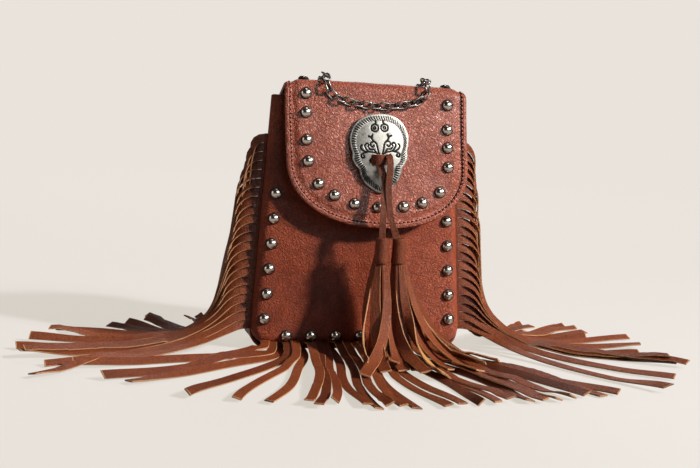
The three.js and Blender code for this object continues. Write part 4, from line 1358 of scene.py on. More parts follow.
def lock_bearings(locks):
    """Bearings of the strips of each lock, spread evenly from its first to its last."""
    spread = [np.linspace(first, last, count) for count, first, last in locks]
    return np.radians(np.concatenate(spread))


def down_the_side(count, upper, values):
    """A column of values for the strips: the top one's, that of strip `upper`, the lowest one's."""
    return np.interp(np.arange(count), (0, upper, count - 1), values)[:, None]


def ramped(s, start, length, turn):
    """A turn that is spread evenly over a length of the strip, from a start."""
    return turn * np.clip((s - start) / np.maximum(length, 1e-6), 0, 1)


def drifting(draw, count, size):
    """Random values that change slowly from one strip to the next."""
    steps = draw.normal(0, 1, count + 4)
    return size * np.convolve(steps, np.ones(5) / 5, "valid") * np.sqrt(5)


def bends_drop(steep, shoulder, flare):
    """Height lost in the two bends: an arc over the shoulder, and a flare that eases out."""
    eased = np.linspace(0, 1, 40) ** SIDE_FALL["ease"]
    return shoulder * (1 - np.cos(steep)) + flare * np.sin(steep * eased).mean(1, keepdims=True)


def steepest_that_fits(steepest, shoulder, flare, height):
    """The steepest fall whose bends still fit in the height, found by halving."""
    low, high = np.full_like(steepest, 0.02), steepest.copy()
    for _ in range(24):
        middle = (low + high) / 2
        fits = bends_drop(middle, shoulder, flare) <= height
        low, high = np.where(fits, middle, low), np.where(fits, high, middle)
    return low


def side_twist(s, landed, lean, loose, flick):
    """Twist along the strips: upright at the seam, rolled over the shoulder, hung, then settled."""
    to_roll = (s - SIDE_TWIST["from"]) / (SIDE_TWIST["rolled"] - SIDE_TWIST["from"])
    roll_left = (1 - np.clip(to_roll, 0, 1)) ** 2
    rolled = SIDE_TWIST["shoulder"] + (np.pi / 2 - SIDE_TWIST["shoulder"]) * roll_left
    eased = SIDE_TWIST["shoulder"] - SIDE_TWIST["hang"]
    hung = eased * smooth(s, SIDE_TWIST["rolled"], SIDE_TWIST["hung"])
    settled = (lean - SIDE_TWIST["hang"]) * smooth(s, landed - 40, landed + 10)
    return rolled - hung + settled + loose + flick


def side_heading(side):
    """The band in the front seam that the strips of one side hang from."""
    levels = np.linspace(SIDE_STRIP["lowest"], SIDE_STRIP["highest"], 6)
    edges = (-HEADING["depth"], 1.5)
    rows = [[(side * (taper(z) + edge), seam(z) + GAP, z) for edge in edges] for z in levels]
    return heading_band(rows)


def side_fringe(curtain):
    """Strips down one side: level lead, shoulder, straight fall, flare, then along the floor."""
    draw = np.random.default_rng(curtain["seed"])
    side = curtain["side"]
    swing = lock_bearings(curtain["locks"])
    count = len(swing)
    swing = (swing + np.radians(draw.normal(0, SIDE_CHANCE["swing"], count)))[:, None]
    spacing = (SIDE_STRIP["highest"] - SIDE_STRIP["lowest"]) / count
    z = SIDE_STRIP["highest"] - (np.arange(count) + 0.5) * spacing
    depth = seam(z) + GAP + HEADING["thickness"] / 2
    root = np.stack([side * (taper(z) - 1), depth, z], -1)
    shoulder = down_the_side(count, 5, curtain["shoulder"])
    shoulder = shoulder + drifting(draw, count, SIDE_CHANCE["shoulder_drift"])[:, None]
    shoulder = shoulder + draw.normal(0, SIDE_CHANCE["shoulder"], count)[:, None]
    flare = down_the_side(count, 6, curtain["flare"])
    height = (z - SIDE_REST)[:, None]
    steepest = np.radians(down_the_side(count, 12, curtain["steepest"]))
    steep = steepest_that_fits(steepest, shoulder, flare, height)
    straight = np.maximum(0, height - bends_drop(steep, shoulder, flare)) / np.sin(steep)
    length = (STRIP_LENGTH + draw.normal(0, SIDE_CHANCE["length"], count))[:, None]
    s = np.linspace(0, 1, SECTIONS)[None] * length
    fall = SIDE_STRIP["lead"] + shoulder * steep + straight
    landed = fall + flare
    pitch = ramped(s, SIDE_STRIP["lead"], shoulder * steep, steep)
    pitch = pitch * (1 - np.clip((s - fall) / flare, 0, 1)) ** SIDE_FALL["ease"]
    landing = SIDE_FALL["landing"]
    early = SIDE_FALL["early"] * smooth(s, 0, SIDE_FALL["turn"])
    late = (1 - SIDE_FALL["early"]) * smooth(s, fall - landing, fall + landing)
    phase = draw.uniform(0, 6.3, (count, 1))
    sway = SIDE_SWAY["turn"] * np.sin(s / SIDE_SWAY["length"] + phase) * smooth(s, 70, 140)
    drawn = drifting(draw, count, SIDE_CHANCE["drawn"])[:, None]
    drawn = drawn * smooth(s, 0, 40) * (1 - smooth(s, 60, 120))
    bearing = (0.0 if side > 0 else np.pi) + side * swing * (early + late) + sway + drawn
    lean = SIDE_TWIST["lean"] + drifting(draw, count, SIDE_CHANCE["lean"])[:, None]
    loose = draw.normal(0, SIDE_CHANCE["loose"], (count, 1)) * smooth(s, 8, 30)
    flick = draw.normal(0, SIDE_CHANCE["flick"], (count, 1)) * smooth(s, length - 35, length)
    twist = side * side_twist(s, landed, lean, loose, flick)
    centre = walk(root, pitch, bearing, length[:, 0] / (SECTIONS - 1))
    sideways, _ = strip_frames(centre, pitch, bearing, twist)
    width, thickness = SIDE_STRIP["width"], SIDE_STRIP["thickness"]
    lay_on_floor(centre, sideways, width, thickness)
    lift = draw.uniform(0, SIDE_CHANCE["lift"], (count, 1))
    lift = lift + np.interp(np.arange(count), (0, 10), (curtain["lift"], 0))[:, None]
    centre[..., 2] += lift * smooth(s, length - 40, length)
    sideways, face = strip_frames(centre, pitch, bearing, twist)
    cup = draw.normal(0, SIDE_CHANCE["cup"], count)
    slant = draw.normal(0, SIDE_CHANCE["slant"], count)
    shape = ribbons(centre, sideways, face, width, thickness, cup, slant)
    return with_heading(shape, strip_marks(count, SECTIONS, draw), side_heading(side))


for name, curtain in CURTAINS.items():
    shape, marks = side_fringe(curtain)
    node = f"fringe_{name}"
    add_piece(f"{node}_strips", shape, strip_leather, [node], 35, marks)

# %% [markdown]
# The lace is one flat thong, hitched through the opening of the concho: a short bight across the
# opening and two strands that hang from it. Each strand ends in a tassel, a piece of leather cut
# into strips and rolled up on the strand. All of them are ribbons along smooth curves.

# %% Curves and lace
CURVE_STEPS = 60
LACE = {"width": 4.2, "thickness": 1.8, "cup": 0.15, "steps": 40, "tone": 0.1}
BIGHT = {"width": 7.4, "thickness": 2.0, "cup": -0.5, "steps": 30}
STRAND_SAG = {"left": (0.3, 1.0, 18.0), "right": (-6.0, 1.0, 18.0)}
CONCHO = {"top": 19.5, "centre": 24.0, "slot_down": 31.0, "off_flap": 0.75}
SLOT_DROP = CONCHO["top"] + CONCHO["slot_down"]
# Each place of a strand: across the flap, down from the slot, and off the flap.
STRANDS = {
    "left": [(-1.0, 1.5, 3.5), (-0.4, 6.0, 8.0), (1.2, 14.0, 8.5)],
    "right": [
        (3.6, -1.0, 4.0),
        (4.8, -3.0, 8.2),
        (5.0, 1.5, 10.8),
        (4.4, 8.0, 11.0),
        (3.2, 18.0, 11.0),
    ],
}
# Each place of the bight: across the slot, and off the flap.
BIGHT_ARCH = [(-5.6, 0.8), (-5.9, 4.0), (-3.4, 6.9), (-0.4, 7.4), (1.8, 6.0), (2.6, 1.5)]
TASSEL_HEAD = {"radius": 4.7, "height": 16.0, "top": 81.0, "front": -47.0, "strand_in": 4.0}
TASSEL_X = {"left": 8.5, "right": 20.0}


def spline(points, count):
    """Centripetal Catmull-Rom curve through points, as `count` places evenly spread along it."""
    points = np.asarray(points, float)
    padded = np.r_[2 * points[:1] - points[1:2], points, 2 * points[-1:] - points[-2:-1]]
    gaps = np.sqrt(np.linalg.norm(np.diff(padded, axis=0), axis=1))[:, None]
    p0, p1, p2, p3 = padded[:-3], padded[1:-2], padded[2:-1], padded[3:]
    d0, d1, d2 = gaps[:-2], gaps[1:-1], gaps[2:]
    m1 = ((p1 - p0) / d0 - (p2 - p0) / (d0 + d1) + (p2 - p1) / d1) * d1
    m2 = ((p2 - p1) / d1 - (p3 - p1) / (d1 + d2) + (p3 - p2) / d2) * d1
    t = np.linspace(0, 1, CURVE_STEPS, endpoint=False)[None, :, None]
    square = 3 * (p2 - p1) - 2 * m1 - m2
    cube = 2 * (p1 - p2) + m1 + m2
    spans = p1[:, None] + m1[:, None] * t + square[:, None] * t**2 + cube[:, None] * t**3
    path = np.r_[spans.reshape(-1, 3), points[-1:]]
    length = np.r_[0, np.cumsum(np.linalg.norm(np.diff(path, axis=0), axis=1))]
    even = np.linspace(0, length[-1], count)
    return np.stack([np.interp(even, length, path[:, k]) for k in range(3)], -1)


def off_flap(across, down, lift):
    """Places off the flap's plain sheet."""
    across, run = np.asarray(across, float), run_at_drop(down)
    return flap_sheet(across, run) + flap_normal(across, run) * np.reshape(lift, (-1, 1))


def one_ribbon(path, sideways, thong):
    """A single ribbon along one path, from the direction across it at each place."""
    face = np.cross(unit(np.gradient(path, axis=0)), sideways)
    sizes = (thong["width"], thong["thickness"], thong["cup"], 0.0)
    return ribbons(path[None], sideways[None], face[None], *sizes)


def lace_strand(side):
    """A strand from the slot to its tassel, with its face kept towards the front."""
    across, down, lift = np.array(STRANDS[side]).T
    height = TASSEL_HEAD["top"] - TASSEL_HEAD["strand_in"]
    end = np.array([TASSEL_X[side], TASSEL_HEAD["front"], height])
    places = off_flap(across, SLOT_DROP + down, lift)
    path = spline(np.r_[places, [end + STRAND_SAG[side]], [end]], LACE["steps"])
    ahead = unit(np.gradient(path, axis=0))
    return one_ribbon(path, unit(np.cross((0.0, -1.0, 0.15), ahead)), LACE)


def lace_bight():
    """The arch across the slot, with its edges up and down."""
    across, lift = np.array(BIGHT_ARCH).T
    arch = spline(off_flap(across, np.full(len(lift), SLOT_DROP), lift), BIGHT["steps"])
    ahead = unit(np.gradient(arch, axis=0))
    upright = np.broadcast_to((0.0, 0.0, 1.0), arch.shape)
    upright = unit(upright - (upright * ahead).sum(-1, keepdims=True) * ahead)
    return one_ribbon(arch, upright, BIGHT)


lace = joined([lace_strand("left"), lace_strand("right"), lace_bight()])
lace_size = len(lace[0])
lace_marks = {
    "cut": np.tile(SECTION_CUT, lace_size // len(SECTION_CUT)),
    "tone": np.full(lace_size, LACE["tone"]),
}
add_piece("lace_thong", lace, strip_leather, ["lace"], 40, lace_marks)

# %% [markdown]
# A tassel's strips leave its head in a ring and end on the fringe below. Each is a Bezier curve
# from its root to its tip: down from the head at first, and nearly level at the end. The strips
# are narrower where they are rolled up in the head, and a twist can turn the raw back outwards.

# %% Tassels
# Each strip: place in the ring in degrees, X and Y of its tip, sideways bow, twist in degrees.
TASSEL_STRIPS = {
    "left": [
        (-105, -8, -92, -10, 75),
        (-40, 3, -98, -2, 12),
        (15, -13, -108, 9, -14),
        (60, 16, -93, 3, 8),
        (-150, -3, -84, -4, 25),
        (120, 11, -86, 4, -20),
        (180, 5, -78, 0, 10),
    ],
    "right": [
        (-10, 25, -91, 2, 6),
        (40, 47, -93, 6, -12),
        (85, 84, -76, 12, -22),
        (62, 64, -101, 9, -14),
        (15, 38, -113, 4, 150),
        (115, 72, -86, 12, -28),
        (-65, 27, -105, -1, 10),
        (150, 52, -78, 6, 0),
    ],
}
TASSEL_STRIP = {"width": 7.6, "thickness": 1.0, "sections": 44, "cup": 0.2, "slant": 0.6}
TASSEL_NARROWING = {"section": (0, 3, 18), "share": (0.5, 0.5, 1.0)}
TASSEL_ROOT = {"inside": 1.7, "up": 5.0}
TASSEL_FALL = {"down": 50.0, "out": 2.0}
TASSEL_REACH = {"tip_height": 3.0, "share": 0.55, "up": 4.0, "bow": 0.3}
TASSEL_ROLL = {"turns": 2.2, "start": 1.2, "inner": 2.3, "flare": 0.6, "thickness": 0.8}
TASSEL_HEAD_GRID = (90, 10)
TASSEL_HEAD_TONE = 0.5
TASSEL_SEED = 41
UPWARD = np.array([0.0, 0.0, 1.0])


def tassel_strips(side):
    """Bezier strips from a ring under the head to their tips on the floor."""
    ring, tip_x, tip_y, bow, twist = np.array(TASSEL_STRIPS[side], float).T
    ring, twist = np.radians(ring), np.radians(twist)
    radial = np.stack([np.sin(ring), -np.cos(ring), 0 * ring], -1)
    foot = TASSEL_HEAD["top"] - TASSEL_HEAD["height"]
    head = np.array([TASSEL_X[side], TASSEL_HEAD["front"], foot])
    root = head + radial * (TASSEL_HEAD["radius"] - TASSEL_ROOT["inside"])
    root = root + UPWARD * TASSEL_ROOT["up"]
    tip = np.stack([tip_x, tip_y, TASSEL_REACH["tip_height"] + 0 * tip_x], -1)
    level = unit((tip - root) * (1, 1, 0))
    bulge = np.stack([bow, 0 * bow, 0 * bow], -1)
    distance = np.linalg.norm((tip - root)[:, :2], axis=1, keepdims=True)
    hang = root - UPWARD * TASSEL_FALL["down"] + radial * TASSEL_FALL["out"] + bulge
    reach = tip - level * TASSEL_REACH["share"] * distance
    reach = reach + UPWARD * TASSEL_REACH["up"] + bulge * TASSEL_REACH["bow"]
    t = np.linspace(0, 1, TASSEL_STRIP["sections"])[None, :, None]
    centre = (1 - t) ** 3 * root[:, None] + 3 * t * (1 - t) ** 2 * hang[:, None]
    centre = centre + 3 * t**2 * (1 - t) * reach[:, None] + t**3 * tip[:, None]
    return centre, radial, twist


def tassel_frames(centre, radial, twist):
    """Face outwards at the head and upwards at the tip, turned by a growing twist."""
    share = np.linspace(0, 1, centre.shape[1])[None, :, None]
    rising = smooth(share, 0.3, 0.95)
    outward = radial[:, None] + np.array([0.0, -0.8, 0.0])
    wish = outward * (1 - rising) + UPWARD * rising
    ahead = unit(np.gradient(centre, axis=1))
    sideways = unit(np.cross(wish, ahead))
    face = np.cross(ahead, sideways)
    turn = (twist[:, None] * smooth(share[..., 0], 0.1, 0.8))[..., None]
    turned_side = sideways * np.cos(turn) + face * np.sin(turn)
    turned_face = face * np.cos(turn) - sideways * np.sin(turn)
    return turned_side, turned_face


def tassel_head(side):
    """Rolled leather: a spiral sheet round the strand."""
    turn_steps, height_steps = TASSEL_HEAD_GRID
    rolled = np.linspace(0, 2 * np.pi * TASSEL_ROLL["turns"], turn_steps)[None]
    turn = rolled - TASSEL_ROLL["start"]
    up = np.linspace(0, TASSEL_HEAD["height"], height_steps)[:, None]
    radius = TASSEL_HEAD["radius"] - TASSEL_ROLL["inner"] * (1 - rolled / rolled.max())
    radius = radius + TASSEL_ROLL["flare"] * (1 - up / TASSEL_HEAD["height"]) ** 2
    x = TASSEL_X[side] + radius * np.cos(turn)
    y = TASSEL_HEAD["front"] + radius * np.sin(turn)
    z = TASSEL_HEAD["top"] - TASSEL_HEAD["height"] + up + 0 * turn
    sheet = np.stack([x, y, z], -1)
    normal = np.stack(np.broadcast_arrays(np.cos(turn), np.sin(turn), 0 * up), -1)
    return wall_under(sheet, normal, TASSEL_ROLL["thickness"])


for order, side in enumerate(TASSEL_STRIPS):
    draw = np.random.default_rng(TASSEL_SEED + order)
    centre, radial, twist = tassel_strips(side)
    sideways, _ = tassel_frames(centre, radial, twist)
    width, thickness = TASSEL_STRIP["width"], TASSEL_STRIP["thickness"]
    lay_on_floor(centre, sideways, width, thickness)
    sideways, face = tassel_frames(centre, radial, twist)
    count, sections = centre.shape[:2]
    slant = draw.normal(0, TASSEL_STRIP["slant"], count)
    share = np.interp(np.arange(sections), TASSEL_NARROWING["section"], TASSEL_NARROWING["share"])
    cup = TASSEL_STRIP["cup"]
    leaves = ribbons(centre, sideways, face, width * share, thickness, cup, slant)
    head = tassel_head(side)
    marks = strip_marks(count, sections, draw)
    plain = np.zeros(len(head[0]))
    marks = {
        "cut": np.r_[marks["cut"].ravel(), plain],
        "tone": np.r_[marks["tone"].ravel(), plain + TASSEL_HEAD_TONE],
    }
    node, shape = f"tassel_{side}", joined([leaves, head])
    add_piece(f"{node}_strips", shape, strip_leather, [node], 35, marks)

# %% [markdown]
# The concho is a cast plate, domed and engraved. It is a grid of rings between its opening and its
# outline, and a height for each place: a dome, a rope border of short ridges, two small rings and
# a pair of mirrored scroll sprays. The engraving and the gaps of the rope, which shape the height,
# also drive the dark patina, and the plate is painted darker towards its bottom and its left, as
# painted shade.

# %% Concho
# The outline from top to tip: how far down from the top, and half the width there.
CONCHO_OUTLINE = [
    (0, 2.5),
    (1, 8),
    (4, 14.2),
    (9, 18),
    (15, 20),
    (21.5, 19.6),
    (25.5, 18.4),
    (29, 19),
    (32.5, 17.6),
    (36.5, 14.4),
    (41, 13.6),
    (46, 10.8),
    (50, 6),
    (52.5, 1.5),
]
RIM_HEIGHT = 1.7
CROWN = {"height": 3.0, "half_width": 21.0, "half_height": 29.0, "middle": 1.0}
ROPE = {"height": 0.45, "inset": 2.9, "width": 1.6, "pitch": 1.8, "slant": 0.25}
BEAD = {"height": 0.15, "inset": 0.55, "width": 0.5}
ENGRAVING = {"depth": 0.55, "width": 0.46, "inset": (4.2, 4.8)}
# How dark the cast gets: patina in the engraved lines and between the rope's ridges, painted shade
# towards the bottom and the left, and a set darkness for the back and the walls.
PATINA_AND_SHADE = {"line": 1.2, "rope": 1.15, "below": 0.26, "left": 0.12, "back": 0.7}
SLOT = {"half_length": 8.0, "half_height": 3.6}
CONCHO_RINGS, CONCHO_SPOKES = 110, 420
RING_CROWDING = 0.85
OUTLINE_SOFTNESS = 30.0
SPRAY_STEPS = 60
# The sprays on the right half, each as places across and up from the middle.
SPRAYS = [
    [(1.0, -3.2), (2.0, 0.0), (2.6, 3.4), (4.2, 5.4), (6.2, 5.0), (6.8, 3.2), (5.6, 2.0), (4.5, 2.9)],
    [(1.0, -3.2), (4.0, -1.8), (7.4, -1.2), (9.6, 0.6), (10.6, 2.8), (9.4, 4.4), (8.0, 3.6), (8.5, 2.2)],
    [(7.4, -1.2), (10.4, -1.0), (12.6, 0.4), (13.4, 2.4), (12.5, 3.5)],
    [(9.0, -1.4), (11.6, -2.0), (13.2, -3.4), (12.6, -5.0), (11.0, -4.6), (11.4, -3.4)],
    [(3.2, -1.6), (4.8, 0.3), (6.8, 0.2), (8.0, 1.2)],
    [(4.2, 5.4), (5.7, 7.4), (5.2, 10.2)],
    [(5.5, 7.2), (6.4, 8.6), (7.8, 9.2)],
]
RINGED_DOTS = {"across": 3.3, "up": 14.6, "radii": (2.4, 0.8), "steps": 40}
DOT_STEM = {"length": 3.0, "bow": 0.8}


def spoke_reach(turn, x, y):
    """Distance from the origin to a closed outline along each spoke, rounded off a little."""
    angle = np.arctan2(y, x)
    order = np.argsort(angle)
    reach = np.interp(turn, angle[order], np.hypot(x, y)[order], period=2 * np.pi)
    waves = np.fft.rfft(reach)
    kept = np.exp(-((np.arange(len(waves)) / OUTLINE_SOFTNESS) ** 2))
    return np.fft.irfft(waves * kept, len(reach))


def scroll_lines():
    """Places along the engraved drawing: curled sprays and two ringed dots, mirrored."""
    lines = []
    for spray in SPRAYS:
        lines.append(spline([(x, y, 0.0) for x, y in spray], SPRAY_STEPS)[:, :2])
    across, up, radii = RINGED_DOTS["across"], RINGED_DOTS["up"], RINGED_DOTS["radii"]
    ring = np.linspace(0, 2 * np.pi, RINGED_DOTS["steps"])
    for radius in radii:
        lines.append(np.c_[across + radius * np.cos(ring), up + radius * np.sin(ring)])
    t = np.linspace(0, 1, SPRAY_STEPS)
    bow = DOT_STEM["bow"] * np.sin(np.pi * t)
    lines.append(np.c_[across - bow, up + radii[0] + DOT_STEM["length"] * t])
    mirrored = [line * (-1, 1) for line in lines]
    return np.concatenate(lines + mirrored)


def nearest(places, drawing):
    """Distance from each place to the nearest one of a drawing, worked out in blocks."""
    blocks = np.array_split(places.astype(np.float32), 24)
    drawing = drawing.astype(np.float32)
    apart = [np.hypot(*(block[:, None] - drawing).transpose(2, 0, 1)).min(1) for block in blocks]
    return np.concatenate(apart)


def concho_plate():
    """Rings from the slot to the outline, with the height of the casting, its patina and painted shade.
    """
    turn = np.linspace(-np.pi, np.pi, CONCHO_SPOKES, endpoint=False)
    down, half = np.array(CONCHO_OUTLINE).T
    slot_y = CONCHO["centre"] - CONCHO["slot_down"]
    y = CONCHO["centre"] - down - slot_y
    outer = spoke_reach(turn, np.r_[half, -half], np.r_[y, y])
    ellipse = 1 / np.hypot(np.cos(turn) / SLOT["half_length"], np.sin(turn) / SLOT["half_height"])
    share = np.linspace(0, 1, CONCHO_RINGS)[:, None] ** RING_CROWDING
    reach = ellipse + (outer - ellipse) * share
    x, y = reach * np.cos(turn), slot_y + reach * np.sin(turn)
    edge = (outer - reach) * np.ones_like(x)
    rim_path = np.c_[outer * np.cos(turn), outer * np.sin(turn)]
    along = np.cumsum(np.linalg.norm(np.diff(rim_path, axis=0, append=rim_path[:1]), axis=1))
    out = (x / CROWN["half_width"]) ** 2 + ((y - CROWN["middle"]) / CROWN["half_height"]) ** 2
    crown = CROWN["height"] * (1 - np.clip(out, 0, 1))
    rope_band = np.exp(-(((edge - ROPE["inset"]) / ROPE["width"]) ** 4))
    ridges = 0.5 + 0.5 * np.cos(2 * np.pi * (along / ROPE["pitch"] + edge * ROPE["slant"]))
    bead = BEAD["height"] * np.exp(-(((edge - BEAD["inset"]) / BEAD["width"]) ** 2))
    near = nearest(np.stack([x.ravel(), y.ravel()], -1), scroll_lines()).reshape(x.shape)
    line = np.exp(-((near / ENGRAVING["width"]) ** 2)) * smooth(edge, *ENGRAVING["inset"])
    height = RIM_HEIGHT + crown + bead + ROPE["height"] * rope_band * ridges
    height = height - ENGRAVING["depth"] * line
    # Painted shade: the plate is darker towards its bottom, under the strands, and towards its left.
    darkening = PATINA_AND_SHADE["below"] * smooth(-y, 3, 18) + PATINA_AND_SHADE["left"] * smooth(-x, 4, 16)
    between = PATINA_AND_SHADE["rope"] * rope_band * (1 - ridges) ** 2
    hollow = np.clip(line * PATINA_AND_SHADE["line"] + between + darkening, 0, 1)
    return x, y, height, hollow


def concho_shape():
    """Plate with a top, an outer edge, a flat back and the wall of its opening."""
    x, y, height, hollow = concho_plate()
    rings = np.stack([x, y, height], -1)
    edge = np.stack([x[-1], y[-1], np.zeros_like(x[-1])], -1)[None]
    inner = np.stack([x[0], y[0], np.zeros_like(x[0])], -1)[None]
    plate = np.concatenate([rings, edge, inner])
    marks = np.concatenate([hollow, np.full((2, CONCHO_SPOKES), PATINA_AND_SHADE["back"])])
    return plate.reshape(-1, 3), [ring_quads(len(plate), CONCHO_SPOKES)], marks


concho_run = run_at_drop(CONCHO["top"] + CONCHO["centre"])
above, seat, below = flap_sheet(np.zeros(3), concho_run + np.array([-1.0, 0.0, 1.0]))
concho_up = unit(above - below)
concho_normal = flap_normal(np.zeros(1), concho_run[None])[0]
concho_axes = np.stack([np.cross(concho_up, concho_normal), concho_up, concho_normal])
plate, plate_faces, hollow = concho_shape()
cast = (seat + concho_normal * CONCHO["off_flap"] + plate @ concho_axes, plate_faces)
add_piece("concho_cast", cast, silver, ["concho"], 60, {"hollow": hollow})

# %% [markdown]
# The strap is a cable chain of small oval links. Each link is a ring of round wire, drawn out along
# the strap, and every second one is turned by nearly a quarter, so that each holds the next. The links
# follow the tube of the frame. Their own turn about the strap is carried from link to link.

# %% Chain
LINK = {"length": 9.2, "width": 6.4, "wire": 1.45, "pitch": 6.1, "turn": 38.0}
LINK_STEPS, WIRE_STEPS, ROUTE_STEPS = 14, 6, 4000
INNER_SHADE = 0.55
CHAIN = {"radius": 2.4, "clear": 1.7, "left": -35.0, "right": 34.0, "off_back": 2.0, "in_ring": 3.2}
CHAIN_TOP_SHARE = 0.2
CHAIN_LAST_RUN = 5.0
CHAIN_LEG_RUN = 10.0
# The drape in front: across the flap, and down from its crest.
CHAIN_DRAPE = [
    (-35, 2),
    (-32, 8),
    (-25, 11.5),
    (-14, 13.8),
    (-1, 14.7),
    (12, 13.8),
    (23, 11.5),
    (31, 8),
    (34, 2),
]
# The loop behind: share of the way over to the anchor, distance off the back, height off the floor.
CHAIN_LOOP = [
    (0, 0, 117),
    (0, 0, 57),
    (0, 0, 17),
    (0, 4, 5),
    (0, 14, 0.4),
    (0, 46, 0),
    (0.2, 58, 0),
    (0.5, 64, 0),
    (0.8, 58, 0),
    (1, 46, 0),
    (1, 14, 0.4),
    (1, 4, 5),
    (1, 0, 17),
    (1, 0, 67),
]
ANCHOR = {"across": 50.0, "height": 126.0, "ring": 6.0, "wire": 1.4}


def chain_side(side, across):
    """Route from the crest over the top, down the back, round the floor and up to an anchor."""
    back, front = FLAP_STOPS[2], FLAP_STOPS[3]
    over_top = [CREST_RUN, front - CHAIN_TOP_SHARE * (front - back), back]
    down_back = [FLAP["back_run"] + BACK_BEND / 2, FLAP["back_run"], CHAIN_LAST_RUN]
    runs = np.array(over_top + down_back)
    lift = CHAIN["radius"] + CHAIN["clear"]
    spots = np.full(len(runs), across)
    over = flap_sheet(spots, runs) + flap_normal(spots, runs) * lift
    leg_x = flap_sheet(np.array([across]), np.array([CHAIN_LEG_RUN]))[0, 0]
    anchor_x = side * ANCHOR["across"]
    share, behind, rise = np.array(CHAIN_LOOP, float).T
    x = leg_x + (anchor_x - leg_x) * share
    y = back_face(0) + CHAIN["radius"] + CHAIN["off_back"] + behind
    loop = np.stack([x, y, CHAIN["radius"] + 4 * GAP + rise], -1)
    foot = ANCHOR["height"] - ANCHOR["ring"] - ANCHOR["wire"] - CHAIN["radius"] + CHAIN["in_ring"]
    end = (anchor_x, back_face(foot) + CHAIN["radius"] + 2 * GAP, foot)
    return np.r_[over, loop, [end]]


def chain_route():
    """The whole strap from the left anchor, over the flap's front, to the right anchor."""
    across, down = np.array(CHAIN_DRAPE, float).T
    lift = CHAIN["radius"] + np.where(down < BENDS["front"], CHAIN["clear"], GAP)
    drape = off_flap(across, down, lift)
    left = chain_side(-1, CHAIN["left"])[::-1]
    return np.r_[left, drape, chain_side(1, CHAIN["right"])]


def link_frames(route):
    """Middles of the links along the route, their directions along and across, and the length."""
    fine = spline(route, ROUTE_STEPS)
    length = np.linalg.norm(np.diff(fine, axis=0), axis=1).sum()
    count = int(length // LINK["pitch"])
    index = np.arange(ROUTE_STEPS)
    spread = np.linspace(0, length, ROUTE_STEPS)
    place = np.interp(np.arange(count) * LINK["pitch"], spread, index)
    centre = np.stack([np.interp(place, index, fine[:, k]) for k in range(3)], -1)
    ahead = unit(np.gradient(centre, axis=0))
    side = np.zeros_like(ahead)
    side[0] = unit(np.cross(ahead[0], (0.0, 1.0, 0.0)))
    for link in range(1, count):
        side[link] = unit(side[link - 1] - (side[link - 1] @ ahead[link]) * ahead[link])
    off = np.cross(ahead, side)
    turned = np.radians(np.where(np.arange(count) % 2 == 0, LINK["turn"], -LINK["turn"]))[:, None]
    across = side * np.cos(turned) + off * np.sin(turned)
    return centre, ahead, across, length


def chain_links(centre, ahead, across):
    """Oval rings along the route: a stadium path in each link's plane, swept by round wire."""
    through = np.cross(ahead, across)[:, None, None]
    ahead, across = ahead[:, None], across[:, None]
    bend = (LINK["width"] - LINK["wire"]) / 2
    stretch = (LINK["length"] - LINK["width"]) / 2
    turn = np.linspace(0, 2 * np.pi, LINK_STEPS, endpoint=False)[:, None]
    u = bend * np.cos(turn) + stretch * np.sign(np.round(np.cos(turn), 6))
    v = bend * np.sin(turn)
    wire = np.linspace(0, 2 * np.pi, WIRE_STEPS, endpoint=False)[:, None]
    radial = np.cos(turn) * ahead + np.sin(turn) * across
    spine = centre[:, None] + u * ahead + v * across
    ring = radial[:, :, None] * np.cos(wire) + through * np.sin(wire)
    points = spine[:, :, None] + LINK["wire"] / 2 * ring
    starts = np.arange(len(centre)) * LINK_STEPS * WIRE_STEPS
    quads = ring_quads(LINK_STEPS, WIRE_STEPS)
    faces = (quads[None] + starts[:, None, None]).reshape(-1, 4)
    # Painted shade: the inner side of each link's wire is darker, where the next link passes through.
    inside = np.clip(-np.cos(wire[:, 0]), 0, 1) * INNER_SHADE
    return (points.reshape(-1, 3), [faces]), np.broadcast_to(inside, points.shape[:3])


*link_places, chain_length = link_frames(chain_route())
chain_shape, chain_inner_shade = chain_links(*link_places)
add_piece("chain_links", chain_shape, gunmetal, ["chain"], None, {"hollow": chain_inner_shade})
print("chain:", len(link_places[0]), "links,", round(chain_length), "mm")

# %% [markdown]
# The strap is held on the back by two plates with a ring, which the picture doesn't show, so they
# are kept plain: a rounded plate, two small rivets and a ring of round wire. One more rivet sits
# on the flap, below the concho.

# %% Anchors and the small rivet
PLATE = {"half_width": 7.0, "half_height": 4.5, "thick": 1.6, "bevel": 0.4, "flat": 3.0, "steps": 48}
PLATE_OVERLAP = 1.0
PLATE_RIVET = {"across": 4.6, "up": 7.2, "radius": 1.0}
FLAP_RIVET = {"across": 6.5, "down": 75.0, "radius": 1.6}
RIVET = {"rings": 7, "sides": 20, "last_turn": 86.0, "height": 0.55}
RING_TURNS, RING_SIDES = 40, 12


def plate_shape(middle):
    """Rounded plate: a superellipse in a few layers, the outer ones drawn in for a bevel."""
    turn = np.linspace(0, 2 * np.pi, PLATE["steps"], endpoint=False)
    x = PLATE["half_width"] * np.sign(np.cos(turn)) * np.abs(np.cos(turn)) ** 0.5
    z = PLATE["half_height"] * np.sign(np.sin(turn)) * np.abs(np.sin(turn)) ** 0.5
    thick, bevel = PLATE["thick"], PLATE["bevel"]
    inset = np.array([0, 0, bevel, PLATE["flat"]])[:, None]
    depth = np.array([0, thick - bevel, thick, thick])[:, None]
    shrunk_x = (1 - inset / PLATE["half_width"]) * x
    shrunk_z = (1 - inset / PLATE["half_height"]) * z
    points = np.stack(np.broadcast_arrays(shrunk_x, depth, shrunk_z), -1)
    return (points + middle).reshape(-1, 3), tube_faces(1, len(inset), PLATE["steps"])


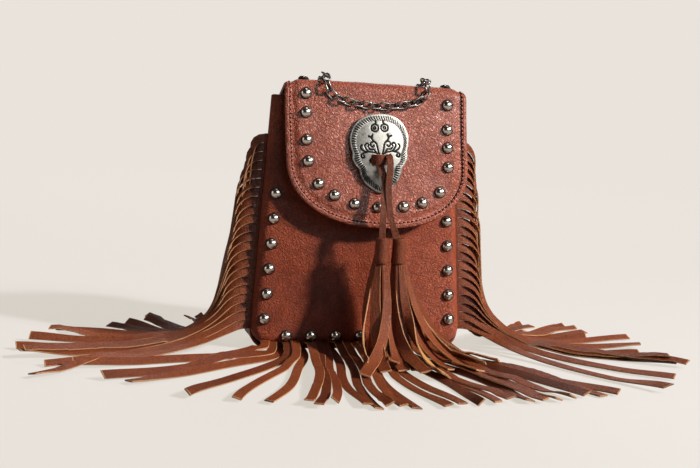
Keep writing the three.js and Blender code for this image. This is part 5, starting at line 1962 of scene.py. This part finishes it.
def ring_shape(middle):
    """A ring of round wire that lies against the back."""
    turn = np.linspace(0, 2 * np.pi, RING_TURNS, endpoint=False)[:, None]
    wire = np.linspace(0, 2 * np.pi, RING_SIDES, endpoint=False)[None]
    radius = ANCHOR["ring"] + ANCHOR["wire"] * np.cos(wire)
    depth = ANCHOR["wire"] * np.sin(wire) + 0 * turn
    points = np.stack([radius * np.cos(turn), depth, radius * np.sin(turn)], -1)
    return (points + middle).reshape(-1, 3), [ring_quads(RING_TURNS, RING_SIDES)]


def rivet_shape(middle, normal, radius):
    """A small dome on a face."""
    turn = np.radians(np.linspace(0, RIVET["last_turn"], RIVET["rings"]))
    rounded = np.c_[radius * np.cos(turn), RIVET["height"] * radius * np.sin(turn)]
    profile = np.r_[[(radius, -GAP)], rounded]
    sideways, across = frames_from(normal[None])
    axes = np.stack([sideways[0], across[0], normal])
    dome = turned_profile(profile, RIVET["sides"]) @ axes + middle
    return dome.reshape(-1, 3), tube_faces(1, len(profile), RIVET["sides"])


backward = np.array([0.0, 1.0, 0.0])
for side, name in ((-1, "left"), (1, "right")):
    depth = back_face(ANCHOR["height"] - ANCHOR["ring"]) + GAP
    middle = np.array([side * ANCHOR["across"], depth, ANCHOR["height"]])
    plate = plate_shape(middle + (0, 0, ANCHOR["ring"] - PLATE_OVERLAP))
    ring = ring_shape(middle + (0, ANCHOR["wire"], 0))
    rivets = []
    for shift in (-PLATE_RIVET["across"], PLATE_RIVET["across"]):
        seat = middle + (shift, PLATE["thick"], PLATE_RIVET["up"])
        rivets.append(rivet_shape(seat, backward, PLATE_RIVET["radius"]))
    node, shape = f"strap_anchor_{name}", joined([plate, ring, *rivets])
    marks = {"hollow": np.zeros(len(shape[0]))}
    add_piece(f"{node}_metal", shape, gunmetal, [node], 40, marks)

rivet_run = run_at_drop(np.array([FLAP_RIVET["down"]]))
rivet_across = np.array([FLAP_RIVET["across"]])
rivet_normal = flap_normal(rivet_across, rivet_run)[0]
rivet = rivet_shape(flap_point(rivet_across, rivet_run)[0], rivet_normal, FLAP_RIVET["radius"])
rivet_marks = {"hollow": np.zeros(len(rivet[0]))}
add_piece("flap_rivet", rivet, stud_metal, (), 50, rivet_marks)
